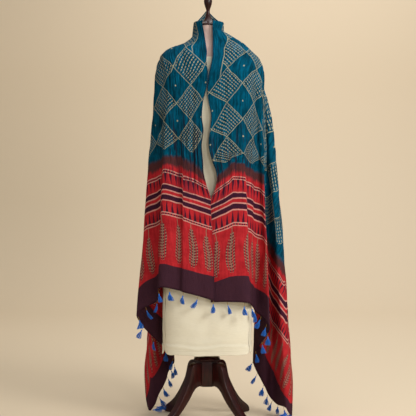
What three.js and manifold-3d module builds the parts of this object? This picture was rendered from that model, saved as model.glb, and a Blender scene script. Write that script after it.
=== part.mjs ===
// Ajrakh shawl, 2.5 m by 1.1 m with a tassel row on each end, worn over a dress form that stands on a
// four-legged wooden foot. The form is dressed in a plain cream cover. The shawl stands up round the neck as
// a collar, falls open down the front and hangs in folds at the sides and back, down to its two low corners.
// Millimetres, +Z up, the open front faces -Y, the feet stand on z = 0.
import * as THREE from "three";
import { mergeVertices } from "three/addons/utils/BufferGeometryUtils.js";
import Module from "manifold-3d";

const wasm = await Module();
wasm.setup();

// ---------- driving dimensions ----------
const SHAWL_LENGTH = 2500; // from tasselled end to tasselled end
const SHAWL_WIDTH = 1100; // from neck edge to back edge
const SHAWL_THICKNESS = 2;
const SHOULDER_HEIGHT = 1340; // below this the shawl hangs freely in folds
const COLLAR = { front: 1546, back: 1611 }; // heights of the collar's top edge
const OPENING_REACH = 130; // how far along the end the waver of a front edge is felt
const COLUMN_STEP = 60; // cloth between neighbouring columns of the shawl, measured along its outer edge
const FALL_ROWS = 9;
const SEAT_GAP = 0.3; // between pieces that touch

const TASSEL_PITCH = 60.5;
const TASSEL_ROWS = [
  { side: "left", count: 19, first: 5 },
  { side: "right", count: 18, first: 65.5 },
];
const TASSEL = { cord: 13, cordRadius: 1, head: 2.8, headHeight: 7, skirt: 25, spread: 6.5, strand: 2, strands: 8 };
// Where the edge bends sharply or the tassel leans far, its root sits this much further from the edge or nearer.
const ROOT_SHIFT = {
  tassel_left_08: 0.4,
  tassel_left_15: -0.35,
  tassel_left_18: -1.1,
  tassel_right_04: 0.1,
  tassel_right_10: 0.3,
  tassel_right_15: 0.1,
  tassel_right_17: -1.25,
};
const TASSEL_LEAN = 26; // how far a tassel on a steep stretch of edge leans off it, in degrees
const FLOOR_CLEARANCE = 1.5;

// Level rings of the shawl on neck and shoulders: how far it reaches from the axis to each side.
const SHAWL_RINGS = [
  { height: 1612, left: 48, right: 52, front: 54, back: 60, square: 2.0 },
  { height: 1548, left: 51, right: 64, front: 57, back: 64, square: 2.0 },
  { height: 1512, left: 55, right: 66, front: 60, back: 67, square: 2.0 },
  { height: 1492, left: 57, right: 100, front: 62, back: 72, square: 2.1 },
  { height: 1478, left: 70, right: 124, front: 64, back: 78, square: 2.1 },
  { height: 1465, left: 88, right: 146, front: 67, back: 86, square: 2.2 },
  { height: 1452, left: 122, right: 160, front: 74, back: 94, square: 2.2 },
  { height: 1439, left: 156, right: 175, front: 82, back: 101, square: 2.3 },
  { height: 1415, left: 180, right: 199, front: 97, back: 108, square: 2.4 },
  { height: 1385, left: 195, right: 213, front: 113, back: 114, square: 2.4 },
  { height: SHOULDER_HEIGHT, left: 202, right: 223, front: 127, back: 119, square: 2.4 },
];

// The folds, in order from the left front edge round the back to the right front edge.
// turn: where the fold leaves the shoulders, in degrees from the front, 90 at the left side and 180 at the back.
// along: where it meets the outer edge, measured along left end, back edge and right end.
// x, y, z: where that point of the edge hangs. bell: 1 for a straight fall, less for one that swells at the top.
const FOLDS = [
  { name: "left front edge", turn: 8, along: 0, x: 28, y: -131, z: 475, bell: 1 },
  { name: "left front middle", turn: 17, along: 62, x: -30, y: -133, z: 493, bell: 1 },
  { name: "left pleat lip", turn: 26, along: 122, x: -86, y: -135, z: 508, bell: 1 },
  { name: "left pleat root", turn: 33, along: 152, x: -106, y: -123, z: 514, bell: 1 },
  { name: "left front fold", turn: 47, along: 228, x: -181, y: -122, z: 524, bell: 0.95 },
  { name: "left side hollow", turn: 60, along: 310, x: -193, y: -34, z: 466, bell: 1.15 },
  { name: "left side fold", turn: 82, along: 435, x: -270, y: -22, z: 399, bell: 1 },
  { name: "left back hollow", turn: 98, along: 660, x: -137, y: 112, z: 226, bell: 1.15 },
  { name: "left back pleat", turn: 108, along: 790, x: -150, y: 170, z: 172, bell: 1.05 },
  { name: "left tail hollow", turn: 118, along: 935, x: -186, y: 140, z: 89, bell: 1 },
  { name: "left corner", turn: 128, along: 1100, x: -233, y: 118, z: 11, bell: 0.9 },
  { name: "left back fold one", turn: 137, along: 1365, x: -254, y: 176, z: 188, bell: 0.85 },
  { name: "left back hollow one", turn: 146, along: 1640, x: -212, y: 200, z: 390, bell: 1.05 },
  { name: "left back fold two", turn: 155, along: 1850, x: -240, y: 304, z: 482, bell: 0.85 },
  { name: "left back hollow two", turn: 164, along: 2040, x: -112, y: 134, z: 524, bell: 1.2 },
  { name: "left back fold three", turn: 172, along: 2205, x: -72, y: 304, z: 534, bell: 0.85 },
  { name: "centre back hollow", turn: 180, along: 2350, x: 0, y: 130, z: 538, bell: 1.2 },
  { name: "right back fold three", turn: 189, along: 2495, x: 76, y: 306, z: 534, bell: 0.85 },
  { name: "right back hollow two", turn: 200, along: 2665, x: 122, y: 134, z: 524, bell: 1.2 },
  { name: "right back fold two", turn: 212, along: 2865, x: 268, y: 296, z: 482, bell: 0.7 },
  { name: "right back hollow one", turn: 223, along: 3080, x: 240, y: 172, z: 392, bell: 0.8 },
  { name: "right back fold one", turn: 234, along: 3345, x: 329, y: 90, z: 188, bell: 0.52 },
  { name: "right corner", turn: 244, along: 3600, x: 336, y: 34, z: 11, bell: 0.5 },
  { name: "right tail fold", turn: 254, along: 3705, x: 305, y: -12, z: 49, bell: 0.75 },
  { name: "right tail hollow", turn: 264, along: 3830, x: 269, y: 100, z: 47, bell: 0.95 },
  { name: "right back pleat", turn: 274, along: 3965, x: 228, y: 80, z: 117, bell: 0.95 },
  { name: "right back hollow", turn: 285, along: 4110, x: 183, y: 106, z: 227, bell: 1.15 },
  { name: "right side fold", turn: 301, along: 4300, x: 241, y: -45, z: 359, bell: 1 },
  { name: "right side hollow", turn: 313, along: 4445, x: 186, y: -16, z: 425, bell: 1.15 },
  { name: "right front fold", turn: 327, along: 4552, x: 161, y: -122, z: 465, bell: 0.95 },
  { name: "right front middle", turn: 341, along: 4625, x: 87, y: -128, z: 471, bell: 1 },
  { name: "right front edge", turn: 352, along: 4700, x: 17, y: -124, z: 469, bell: 1 },
];

// The wavering opening down the front: where each front edge hangs, and how far the right one tucks in behind.
const OPENING = [
  { height: 1546, left: -19, right: 23, tuck: 0 },
  { height: 1500, left: -11, right: 22, tuck: 0 },
  { height: 1407, left: 1, right: 21, tuck: 0 },
  { height: 1388, left: -5, right: 19, tuck: 0 },
  { height: 1340, left: 5, right: 9, tuck: 2 },
  { height: 1289, left: 5, right: -1, tuck: 7 },
  { height: 1250, left: -11, right: 1, tuck: 0 },
  { height: 1171, left: -19, right: 15, tuck: 0 },
  { height: 1118, left: -13, right: 10, tuck: 0 },
  { height: 1060, left: -20, right: 6, tuck: 0 },
  { height: 1000, left: -15, right: 20, tuck: 0 },
  { height: 955, left: -12, right: 36, tuck: 0 },
  { height: 905, left: 0, right: 32, tuck: 0 },
  { height: 859, left: 15, right: 17, tuck: 3 },
  { height: 836, left: 14, right: 8, tuck: 7 },
  { height: 742, left: 20, right: 10, tuck: 8 },
  { height: 644, left: 26, right: 12, tuck: 8 },
  { height: 470, left: 28, right: 14, tuck: 8 },
];

// Level sections of the covered form: half width, reach to front and back, and how square the section is.
const FORM_SECTIONS = [
  { height: 262, half: 175, front: 104, back: 102, square: 3.2 },
  { height: 420, half: 174, front: 103, back: 101, square: 3.1 },
  { height: 620, half: 170, front: 101, back: 99, square: 2.9 },
  { height: 840, half: 162, front: 98, back: 95, square: 2.7 },
  { height: 1010, half: 151, front: 95, back: 89, square: 2.5 },
  { height: 1140, half: 154, front: 106, back: 90, square: 2.4 },
  { height: 1240, half: 166, front: 114, back: 94, square: 2.4 },
  { height: 1330, half: 180, front: 104, back: 99, square: 2.4 },
  { height: 1385, half: 183, front: 90, back: 98, square: 2.4 },
  { height: 1415, half: 174, front: 78, back: 94, square: 2.4 },
  { height: 1439, half: 150, front: 68, back: 88, square: 2.3 },
  { height: 1452, half: 114, front: 62, back: 82, square: 2.2 },
  { height: 1465, half: 78, front: 56, back: 74, square: 2.2 },
  { height: 1478, half: 60, front: 51, back: 64, square: 2.1 },
  { height: 1500, half: 49, front: 47, back: 52, square: 2.0 },
  { height: 1532, half: 48, front: 48, back: 48, square: 2.0 },
];
const COVER = { wall: 2.5, neckFront: 1402, neckBack: 1484, hem: 262, around: 36, slitTop: 520, slitTurn: 58, slitWidth: 4 };
const TORSO_FOOT = 700;
const NECK_TOP = 1530.7;
const NECK_SHIFT = 4; // the neck, cap and finial stand this far to the right of the foot's axis

// Turned profiles, from bottom to top.
const NECK_CAP = [
  { height: 1531, radius: 45 },
  { height: 1534, radius: 46 },
  { height: 1538, radius: 44 },
  { height: 1541, radius: 37 },
  { height: 1546, radius: 27 },
  { height: 1552, radius: 20 },
  { height: 1562, radius: 14 },
  { height: 1576, radius: 9 },
  { height: 1592, radius: 6.5 },
];
const FINIAL = [
  { height: 1592.3, radius: 6.5 },
  { height: 1600, radius: 8 },
  { height: 1611, radius: 12 },
  { height: 1622, radius: 15 },
  { height: 1634, radius: 16 },
  { height: 1647, radius: 14.5 },
  { height: 1660, radius: 10 },
  { height: 1670, radius: 5.5 },
  { height: 1675, radius: 4.2 },
  { height: 1681, radius: 6.4 },
  { height: 1688, radius: 6.4 },
  { height: 1694, radius: 3 },
];

const POLE = { radius: 14, bottom: 250.3 };
const HUB = { bottom: 133, top: 233.7, half: 40, chamfer: 20 };
const PLATE = { bottom: 234, top: 250, lower: 52, upper: 43, chamfer: 24 };
const LEG_THICKNESS = 28;
// Side outline of a leg, out from the hub: over the knee, down the outer curve, round the foot and back up.
const LEG_OUTLINE = [
  { out: 42.75, up: 224 },
  { out: 54, up: 226 },
  { out: 64, up: 228 },
  { out: 75, up: 227 },
  { out: 86, up: 221 },
  { out: 94, up: 210 },
  { out: 99, up: 195 },
  { out: 104, up: 176 },
  { out: 113, up: 151 },
  { out: 129, up: 124 },
  { out: 148, up: 95 },
  { out: 170, up: 68 },
  { out: 192, up: 48 },
  { out: 212, up: 34 },
  { out: 226, up: 22 },
  { out: 231, up: 10 },
  { out: 227, up: 0 },
  { out: 197, up: 0 },
  { out: 184, up: 14 },
  { out: 165, up: 37 },
  { out: 143, up: 57 },
  { out: 122, up: 77 },
  { out: 104, up: 97 },
  { out: 88, up: 118 },
  { out: 74, up: 131 },
  { out: 60, up: 137 },
  { out: 42.75, up: 138 },
];

// ---------- small helpers ----------
const lerp = THREE.MathUtils.lerp;
const clamp = THREE.MathUtils.clamp;
const radians = THREE.MathUtils.degToRad;

// Smooth value of a table column at row position t: 0 at the first row, 1 at the second, and so on.
function smoothColumn(table, column, t) {
  const last = table.length - 1;
  const i = Math.min(Math.floor(t), last - 1);
  const f = t - i;
  const at = (k) => table[clamp(k, 0, last)][column];
  const [p0, p1, p2, p3] = [at(i - 1), at(i), at(i + 1), at(i + 2)];
  return p1 + 0.5 * f * (p2 - p0 + f * (2 * p0 - 5 * p1 + 4 * p2 - p3 + f * (3 * (p1 - p2) + p3 - p0)));
}

// Straight-line value of a table column at row position t.
function linearColumn(table, column, t) {
  const i = Math.min(Math.floor(t), table.length - 2);
  return lerp(table[i][column], table[i + 1][column], t - i);
}

// Row position at which a steadily rising or falling column reaches a value.
function rowAt(table, column, value) {
  const rising = table[table.length - 1][column] > table[0][column];
  let i = 0;
  while (i < table.length - 2 && (rising ? table[i + 1][column] < value : table[i + 1][column] > value)) i++;
  return i + clamp((value - table[i][column]) / (table[i + 1][column] - table[i][column]), 0, 1);
}

// Plan point of a level section at a turn from the front: 90 is the left side, 180 the back.
function sectionPoint(turn, side, depth, square) {
  const s = Math.sin(radians(turn));
  const c = Math.cos(radians(turn));
  const scale = Math.pow(Math.pow(Math.abs(s), square) + Math.pow(Math.abs(c), square), -1 / square);
  return [-s * scale * side, -c * scale * depth];
}

function solidFrom(points, triangles) {
  const mesh = new wasm.Mesh({
    numProp: 3,
    vertProperties: new Float32Array(points.flatMap((v) => [v.x, v.y, v.z])),
    triVerts: new Uint32Array(triangles.flat()),
  });
  return new wasm.Manifold(mesh);
}

function solidOf(geometry) {
  const bare = geometry.index ? geometry.toNonIndexed() : geometry.clone();
  bare.deleteAttribute("normal");
  bare.deleteAttribute("uv");
  const merged = mergeVertices(bare, 1e-3);
  const mesh = new wasm.Mesh({
    numProp: 3,
    vertProperties: merged.attributes.position.array,
    triVerts: new Uint32Array(merged.index.array),
  });
  return new wasm.Manifold(mesh);
}

function geometryOf(solid) {
  const mesh = solid.getMesh();
  const geometry = new THREE.BufferGeometry();
  geometry.setAttribute("position", new THREE.BufferAttribute(new Float32Array(mesh.vertProperties), 3));
  geometry.setIndex(new THREE.BufferAttribute(new Uint32Array(mesh.triVerts), 1));
  const flat = geometry.toNonIndexed();
  flat.computeVertexNormals();
  return flat;
}

// A solid through closed rings of equal count, given from bottom to top, each running anticlockwise from above.
function loft(rings) {
  const count = rings[0].length;
  const triangles = [];
  for (let i = 0; i < rings.length - 1; i++)
    for (let j = 0; j < count; j++) {
      const next = (j + 1) % count;
      const [a, b, c, d] = [i * count + j, i * count + next, (i + 1) * count + next, (i + 1) * count + j];
      triangles.push([a, b, c], [a, c, d]);
    }
  const top = (rings.length - 1) * count;
  for (let j = 1; j < count - 1; j++) triangles.push([0, j + 1, j], [top, top + j, top + j + 1]);
  return solidFrom(rings.flat(), triangles);
}

function turned(profile, count, shift) {
  const ring = (row) =>
    Array.from({ length: count }, (_, k) => {
      const angle = (2 * Math.PI * (k + 0.5)) / count;
      return new THREE.Vector3(shift + row.radius * Math.cos(angle), row.radius * Math.sin(angle), row.height);
    });
  return loft(profile.map(ring));
}

// Square with its corners cut off, anticlockwise from above.
function cutSquare(half, chamfer, height) {
  const near = half - chamfer;
  const corners = [
    [half, -near],
    [half, near],
    [near, half],
    [-near, half],
    [-half, near],
    [-half, -near],
    [-near, -half],
    [near, -half],
  ];
  return corners.map(([x, y]) => new THREE.Vector3(x, y, height));
}

const group = new THREE.Group();
const finish = (color, roughness) => new THREE.MeshStandardMaterial({ color, roughness, metalness: 0 });
const wood = () => finish(0x2b1512, 0.25);

function addPiece(name, solid, material) {
  const mesh = new THREE.Mesh(geometryOf(solid), material);
  mesh.name = name;
  group.add(mesh);
}

// ---------- the shawl ----------
// Plan point of the fold line at row position t where it passes a height, before its front edge wavers.
function fallPoint(t, height) {
  const turn = linearColumn(FOLDS, "turn", t);
  const row = rowAt(SHAWL_RINGS, "height", Math.max(height, SHOULDER_HEIGHT));
  const side = linearColumn(SHAWL_RINGS, turn < 180 ? "left" : "right", row);
  const depth = linearColumn(SHAWL_RINGS, turn > 90 && turn < 270 ? "back" : "front", row);
  const start = sectionPoint(turn, side, depth, linearColumn(SHAWL_RINGS, "square", row));
  if (height >= SHOULDER_HEIGHT) return start;
  const drop = (SHOULDER_HEIGHT - height) / (SHOULDER_HEIGHT - smoothColumn(FOLDS, "z", t));
  const share = Math.pow(clamp(drop, 0, 1), linearColumn(FOLDS, "bell", t));
  return [lerp(start[0], smoothColumn(FOLDS, "x", t), share), lerp(start[1], smoothColumn(FOLDS, "y", t), share)];
}

// A point of the shawl's middle surface: t picks the fold line, height how far down it.
function shawlPoint(t, height) {
  const point = fallPoint(t, height);
  const along = linearColumn(FOLDS, "along", t);
  const left = along < SHAWL_WIDTH;
  const distance = left ? along : 2 * SHAWL_WIDTH + SHAWL_LENGTH - along;
  if (distance < OPENING_REACH) {
    const share = Math.pow(1 - distance / OPENING_REACH, 2);
    const row = rowAt(OPENING, "height", height);
    const edge = fallPoint(left ? 0 : FOLDS.length - 1, height);
    point[0] += share * (smoothColumn(OPENING, left ? "left" : "right", row) - edge[0]);
    if (!left) point[1] += share * Math.max(0, smoothColumn(OPENING, "tuck", row));
  }
  return new THREE.Vector3(point[0], point[1], height);
}

// Heights of the rows of one fold line, from the collar's top edge down to the outer edge.
function rowHeights(t) {
  const turn = linearColumn(FOLDS, "turn", t);
  const behind = turn > 90 && turn < 270 ? 1 - Math.abs(Math.sin(radians(turn))) : 0;
  const top = lerp(COLLAR.front, COLLAR.back, behind);
  const shoulders = SHAWL_RINGS.slice(2).map((ring) => ring.height);
  const end = smoothColumn(FOLDS, "z", t);
  const fall = Array.from({ length: FALL_ROWS }, (_, i) => lerp(SHOULDER_HEIGHT, end, (i + 1) / FALL_ROWS));
  return [top, lerp(top, shoulders[0], 0.5), ...shoulders, ...fall];
}

// Row positions of the columns of cloth: at least two to each fold, more where a fold takes more cloth.
function columnPositions() {
  const positions = [];
  for (let i = 0; i < FOLDS.length - 1; i++) {
    const parts = Math.max(2, Math.round((FOLDS[i + 1].along - FOLDS[i].along) / COLUMN_STEP));
    for (let k = 0; k < parts; k++) positions.push(i + k / parts);
  }
  return [...positions, FOLDS.length - 1];
}

// A sheet of the given thickness about a grid of points whose columns run along and whose rows run down.
// closed joins the last column to the first; outward and inward are how far its faces lie from the points.
function sheetFaces(grid, closed, outward, inward) {
  const [m, n] = [grid.length, grid[0].length];
  const column = (i) => (closed ? (i + m) % m : clamp(i, 0, m - 1));
  const wallNormal = (from, to, down) => new THREE.Vector3().subVectors(to, from).cross(down).normalize();
  const down = new THREE.Vector3();
  const face = (offset) =>
    grid.map((line, i) =>
      line.map((point, j) => {
        down.subVectors(line[Math.min(j + 1, n - 1)], line[Math.max(j - 1, 0)]);
        const before = wallNormal(grid[column(i - 1)][j], point, down);
        const after = wallNormal(point, grid[column(i + 1)][j], down);
        const normal = before.clone().add(after).normalize();
        const mitre = 1 / Math.max(0.6, normal.dot(before), normal.dot(after));
        return point.clone().addScaledVector(normal, offset * mitre);
      })
    );
  return [face(outward), face(-inward)];
}

function sheetSolid(faces, closed) {
  const [m, n] = [faces[0].length, faces[0][0].length];
  const outer = (i, j) => (i % m) * n + j;
  const inner = (i, j) => m * n + (i % m) * n + j;
  const triangles = [];
  const quad = (a, b, c, d) => triangles.push([a, b, c], [a, c, d]);
  for (let i = 0; i < (closed ? m : m - 1); i++) {
    for (let j = 0; j < n - 1; j++) {
      quad(outer(i, j), outer(i + 1, j), outer(i + 1, j + 1), outer(i, j + 1));
      quad(inner(i, j), inner(i, j + 1), inner(i + 1, j + 1), inner(i + 1, j));
    }
    quad(outer(i + 1, 0), outer(i, 0), inner(i, 0), inner(i + 1, 0));
    quad(outer(i, n - 1), outer(i + 1, n - 1), inner(i + 1, n - 1), inner(i, n - 1));
  }
  for (let j = 0; j < n - 1 && !closed; j++) {
    quad(outer(0, j), outer(0, j + 1), inner(0, j + 1), inner(0, j));
    quad(outer(m - 1, j + 1), outer(m - 1, j), inner(m - 1, j), inner(m - 1, j + 1));
  }
  return solidFrom(faces.flat(2), triangles);
}

const columns = columnPositions();
const shawlGrid = columns.map((t) => rowHeights(t).map((height) => shawlPoint(t, height)));
const shawlFaces = sheetFaces(shawlGrid, false, SHAWL_THICKNESS / 2, SHAWL_THICKNESS / 2);
addPiece("shawl", sheetSolid(shawlFaces, false), finish(0x0f4a5c, 0.85));

// ---------- the tassels ----------
// A tassel that hangs from the origin down -Z: thread, bound head and a flared skirt of separate strands.
function tasselGeometry() {
  const points = [];
  const triangles = [];
  const count = TASSEL.strands;
  const ring = (sides, radius, height, start) => {
    const first = points.length;
    for (let k = 0; k < sides; k++) {
      const angle = start + (2 * Math.PI * k) / sides;
      points.push(new THREE.Vector3(radius * Math.cos(angle), radius * Math.sin(angle), height));
    }
    return first;
  };
  const step = (2 * Math.PI) / count;
  const knot = -TASSEL.cord;
  const foot = knot - TASSEL.headHeight;
  const top = ring(4, TASSEL.cordRadius, 0, step / 2);
  const threadEnd = ring(4, TASSEL.cordRadius, knot, step / 2);
  const waist = ring(count, TASSEL.head, knot - TASSEL.headHeight * 0.4, 0);
  const base = ring(count, TASSEL.head * 0.8, foot, 0);
  triangles.push([top, top + 1, top + 2], [top, top + 2, top + 3]);
  for (let k = 0; k < 4; k++) {
    const next = (k + 1) % 4;
    triangles.push([threadEnd + k, threadEnd + next, top + next], [threadEnd + k, top + next, top + k]);
    const [a, b, c] = [2 * k, 2 * k + 1, (2 * k + 2) % count];
    triangles.push([waist + a, waist + b, threadEnd + k]);
    triangles.push([waist + b, waist + c, threadEnd + next], [waist + b, threadEnd + next, threadEnd + k]);
  }
  const middle = points.length;
  points.push(new THREE.Vector3(0, 0, foot - 0.5));
  for (let k = 0; k < count; k++) {
    const next = (k + 1) % count;
    triangles.push([base + k, base + next, waist + next], [base + k, waist + next, waist + k]);
    const angle = step * (k + 0.5);
    const drop = foot - TASSEL.skirt * (0.93 + 0.07 * Math.cos(3 * k));
    const tip = points.length;
    const radial = new THREE.Vector3(Math.cos(angle), Math.sin(angle), 0);
    const sideways = new THREE.Vector3(-Math.sin(angle), Math.cos(angle), 0);
    const place = (reach, aside) =>
      points.push(radial.clone().multiplyScalar(reach).addScaledVector(sideways, aside).setZ(drop));
    place(TASSEL.spread - TASSEL.strand, 0);
    place(TASSEL.spread, -TASSEL.strand / 2);
    place(TASSEL.spread, TASSEL.strand / 2);
    const root = [middle, base + k, base + next];
    for (let e = 0; e < 3; e++) {
      const f = (e + 1) % 3;
      triangles.push([tip + e, tip + f, root[f]], [tip + e, root[f], root[e]]);
    }
    triangles.push([tip, tip + 2, tip + 1]);
  }
  return geometryOf(solidFrom(points, triangles));
}

// Point and running direction of the shawl's outer edge at a distance along it.
function edgeAt(along) {
  let i = 0;
  while (i < columns.length - 2 && linearColumn(FOLDS, "along", columns[i + 1]) < along) i++;
  const [from, to] = [i, i + 1].map((k) => linearColumn(FOLDS, "along", columns[k]));
  const [p, q] = [i, i + 1].map((k) => shawlGrid[k][shawlGrid[k].length - 1]);
  return {
    point: p.clone().lerp(q, clamp((along - from) / (to - from), 0, 1)),
    run: q.clone().sub(p).normalize(),
  };
}

const tasselShape = tasselGeometry();
const tasselLength = TASSEL.cord + TASSEL.headHeight + TASSEL.skirt;

// Hangs one tassel from the edge; near the floor it leans outward so that it stays clear of the floor.
function hangTassel(name, along) {
  const { point, run } = edgeAt(along);
  const plumb = new THREE.Vector3(0, 0, -1);
  const off = plumb.clone().addScaledVector(run, -plumb.dot(run)).normalize();
  const steep = Math.abs(run.z);
  let lean = Math.round(TASSEL_LEAN * steep);
  const room = point.z - FLOOR_CLEARANCE - 1.5;
  while (lean < 90 && tasselLength * Math.cos(radians(lean)) + (TASSEL.spread + 1) * Math.sin(radians(lean)) > room) lean++;
  const tilt = Math.sin(radians(lean));
  const rise = 0.56 + TASSEL.cordRadius * (0.95 * steep + 0.7 * tilt * tilt) + (ROOT_SHIFT[name] ?? 0);
  const root = point.clone().addScaledVector(off, rise);
  const outward = off.clone().setZ(0).normalize();
  const direction = plumb.multiplyScalar(Math.cos(radians(lean))).addScaledVector(outward, tilt);
  const turn = new THREE.Quaternion().setFromUnitVectors(new THREE.Vector3(0, 0, -1), direction);
  const geometry = tasselShape.clone().applyQuaternion(turn).translate(root.x, root.y, root.z);
  const mesh = new THREE.Mesh(geometry, finish(0x2368c8, 0.6));
  mesh.name = name;
  group.add(mesh);
}

for (const row of TASSEL_ROWS)
  for (let i = 0; i < row.count; i++) {
    const distance = row.first + i * TASSEL_PITCH;
    const along = row.side === "left" ? distance : 2 * SHAWL_WIDTH + SHAWL_LENGTH - distance;
    hangTassel(`tassel_${row.side}_${String(i + 1).padStart(2, "0")}`, along);
  }

// ---------- the dress form and its cover ----------
function formPoint(turn, height) {
  const row = rowAt(FORM_SECTIONS, "height", height);
  const depth = linearColumn(FORM_SECTIONS, turn > 90 && turn < 270 ? "back" : "front", row);
  const half = linearColumn(FORM_SECTIONS, "half", row);
  const [x, y] = sectionPoint(turn, half, depth, linearColumn(FORM_SECTIONS, "square", row));
  return new THREE.Vector3(x + NECK_SHIFT * clamp((height - 1330) / 170, 0, 1), y, height);
}

const coverTurns = Array.from({ length: COVER.around }, (_, k) => (360 * k) / COVER.around);

function neckline(turn) {
  const front = Math.pow((1 + Math.cos(radians(turn))) / 2, 3);
  return lerp(COVER.neckBack, COVER.neckFront, front);
}

// Heights of the rows of the cover at one turn, from its neckline down to its hem.
function coverHeights(turn) {
  const top = neckline(turn);
  const body = [1330, 1240, 1140, 1010, 840, 620, COVER.hem];
  const yoke = [1, 0.8, 0.6, 0.4, 0.2].map((share) => lerp(1330, top, share));
  return [...yoke, ...body];
}

const coverGrid = coverTurns.map((turn) => coverHeights(turn).map((height) => formPoint(turn, height)));
let cover = sheetSolid(sheetFaces(coverGrid, true, 0, COVER.wall), true);
for (const side of [-1, 1]) {
  const [x, y] = sectionPoint(COVER.slitTurn, 175, 104, 3.2);
  const slit = new THREE.BoxGeometry(60, COVER.slitWidth, COVER.slitTop - COVER.hem + 60);
  slit.translate(-side * x, y, COVER.slitTop / 2 + COVER.hem / 2 - 30);
  cover = cover.subtract(solidOf(slit));
}
addPiece("cover", cover, finish(0xdcd2af, 0.9));

// The form's own skin lies just inside the cover and goes on up as the neck.
function formSolid() {
  const grid = coverTurns.map((turn) => {
    const neck = [0, 0.25, 0.5, 0.75].map((share) => lerp(NECK_TOP, neckline(turn), share));
    const body = coverHeights(turn).filter((height) => height > TORSO_FOOT);
    return [...neck, ...body, TORSO_FOOT].map((height) => formPoint(turn, height));
  });
  const [, skin] = sheetFaces(grid, true, 0, COVER.wall + SEAT_GAP + 1.2);
  const rings = grid[0].map((_, j) => skin.map((line) => line[j]).reverse()).reverse();
  rings[0].forEach((point) => point.setZ(TORSO_FOOT));
  rings[rings.length - 1].forEach((point) => point.setZ(NECK_TOP));
  return loft(rings);
}
addPiece("form", formSolid(), finish(0xe1c3b9, 0.8));
addPiece("neck_cap", turned(NECK_CAP, 16, NECK_SHIFT), wood());
addPiece("finial", turned(FINIAL, 14, NECK_SHIFT), wood());

// ---------- the foot ----------
const poleProfile = [
  { height: POLE.bottom, radius: POLE.radius },
  { height: TORSO_FOOT - SEAT_GAP, radius: POLE.radius },
];
addPiece("pole", turned(poleProfile, 16, 0), wood());
addPiece(
  "hub_plate",
  loft([
    cutSquare(PLATE.lower - 3, PLATE.chamfer - 1.5, PLATE.bottom),
    cutSquare(PLATE.lower, PLATE.chamfer, PLATE.bottom + 4),
    cutSquare(PLATE.upper, PLATE.chamfer - 4, PLATE.top),
  ]),
  wood()
);
addPiece(
  "hub",
  loft([
    cutSquare(HUB.half - 6, HUB.chamfer - 3, HUB.bottom),
    cutSquare(HUB.half, HUB.chamfer, HUB.bottom + 6),
    cutSquare(HUB.half, HUB.chamfer, HUB.top),
  ]),
  wood()
);

const legShape = new THREE.Shape(LEG_OUTLINE.map((row) => new THREE.Vector2(row.out, row.up)));
const legNames = ["leg_front_left", "leg_front_right", "leg_back_right", "leg_back_left"];
legNames.forEach((name, k) => {
  const leg = new THREE.ExtrudeGeometry(legShape, { depth: LEG_THICKNESS, bevelEnabled: false, curveSegments: 1 });
  leg.translate(0, 0, -LEG_THICKNESS / 2).rotateX(Math.PI / 2).rotateZ(radians(225 + 90 * k));
  addPiece(name, solidOf(leg), wood());
});

// The whole stands centred over the origin.
const box = new THREE.Box3().setFromObject(group);
group.children.forEach((mesh) => mesh.geometry.translate(-(box.min.x + box.max.x) / 2, -(box.min.y + box.max.y) / 2, 0));

export default group;
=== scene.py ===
"""An ajrakh shawl worn over a cream-covered dress form on a dark wooden foot.

The shawl is printed teal with a lattice of stitched-looking diamonds, and each end is dyed red with
borders, spikes and leafy sprays above a plain aubergine hem that carries a row of blue tassels.
Tables and sizes are in millimetres about the pole's axis; the meshes are made in metres in the frame.
"""

import math

import bmesh
import bpy
import numpy as np
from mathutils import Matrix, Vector


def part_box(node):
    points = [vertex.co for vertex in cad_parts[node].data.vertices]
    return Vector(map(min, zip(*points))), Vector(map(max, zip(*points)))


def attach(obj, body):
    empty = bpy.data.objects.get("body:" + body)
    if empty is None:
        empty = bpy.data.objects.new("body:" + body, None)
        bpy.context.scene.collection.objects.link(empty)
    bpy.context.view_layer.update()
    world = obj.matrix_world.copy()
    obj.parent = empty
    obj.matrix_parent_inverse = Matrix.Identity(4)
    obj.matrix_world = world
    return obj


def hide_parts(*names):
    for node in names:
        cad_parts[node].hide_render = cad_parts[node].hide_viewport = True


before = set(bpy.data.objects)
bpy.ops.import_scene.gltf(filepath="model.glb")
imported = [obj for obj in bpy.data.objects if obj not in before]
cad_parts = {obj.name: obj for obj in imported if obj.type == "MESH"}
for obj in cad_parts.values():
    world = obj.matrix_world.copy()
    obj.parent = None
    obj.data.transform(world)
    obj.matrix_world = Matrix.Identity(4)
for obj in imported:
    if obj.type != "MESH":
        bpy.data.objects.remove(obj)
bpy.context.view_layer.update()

bl_info = {
    "name": "Ajrakh shawl on a dress form",
    "version": (1, 0, 0),
    "blender": (4, 5, 0),
    "location": "View3D > Sidebar > Shawl",
    "description": "Builds a printed shawl with tassels, worn over a dress form",
    "category": "Object",
}

POLE_LOW, POLE_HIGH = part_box("pole")
AXIS = np.array([(POLE_LOW.x + POLE_HIGH.x) / 2, (POLE_LOW.y + POLE_HIGH.y) / 2, 0.0])
MM = 0.001

SHAWL_LENGTH = 2500
SHAWL_WIDTH = 1100
OUTER_EDGE = 2 * SHAWL_WIDTH + SHAWL_LENGTH  # down the left hem, along the long edge and up the right hem
SHOULDER = 1340
COLLAR_FRONT = 1546
COLLAR_BACK = 1611
COLLAR_FOOT = 1512
COLLAR_DEPTH = 58
COLLAR_ENDS = (1055, 1322)  # how far from the left end the collar begins and ends
OPENING_REACH = 130
OPENING_MEETS = 1292
BAND_ROWS, YOKE_ROWS, FALL_ROWS = 10, 33, 106


def table(names, rows):
    """Named columns from a short table of rows."""
    columns = np.array(rows, float).T
    return dict(zip(names.split(), columns))


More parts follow.
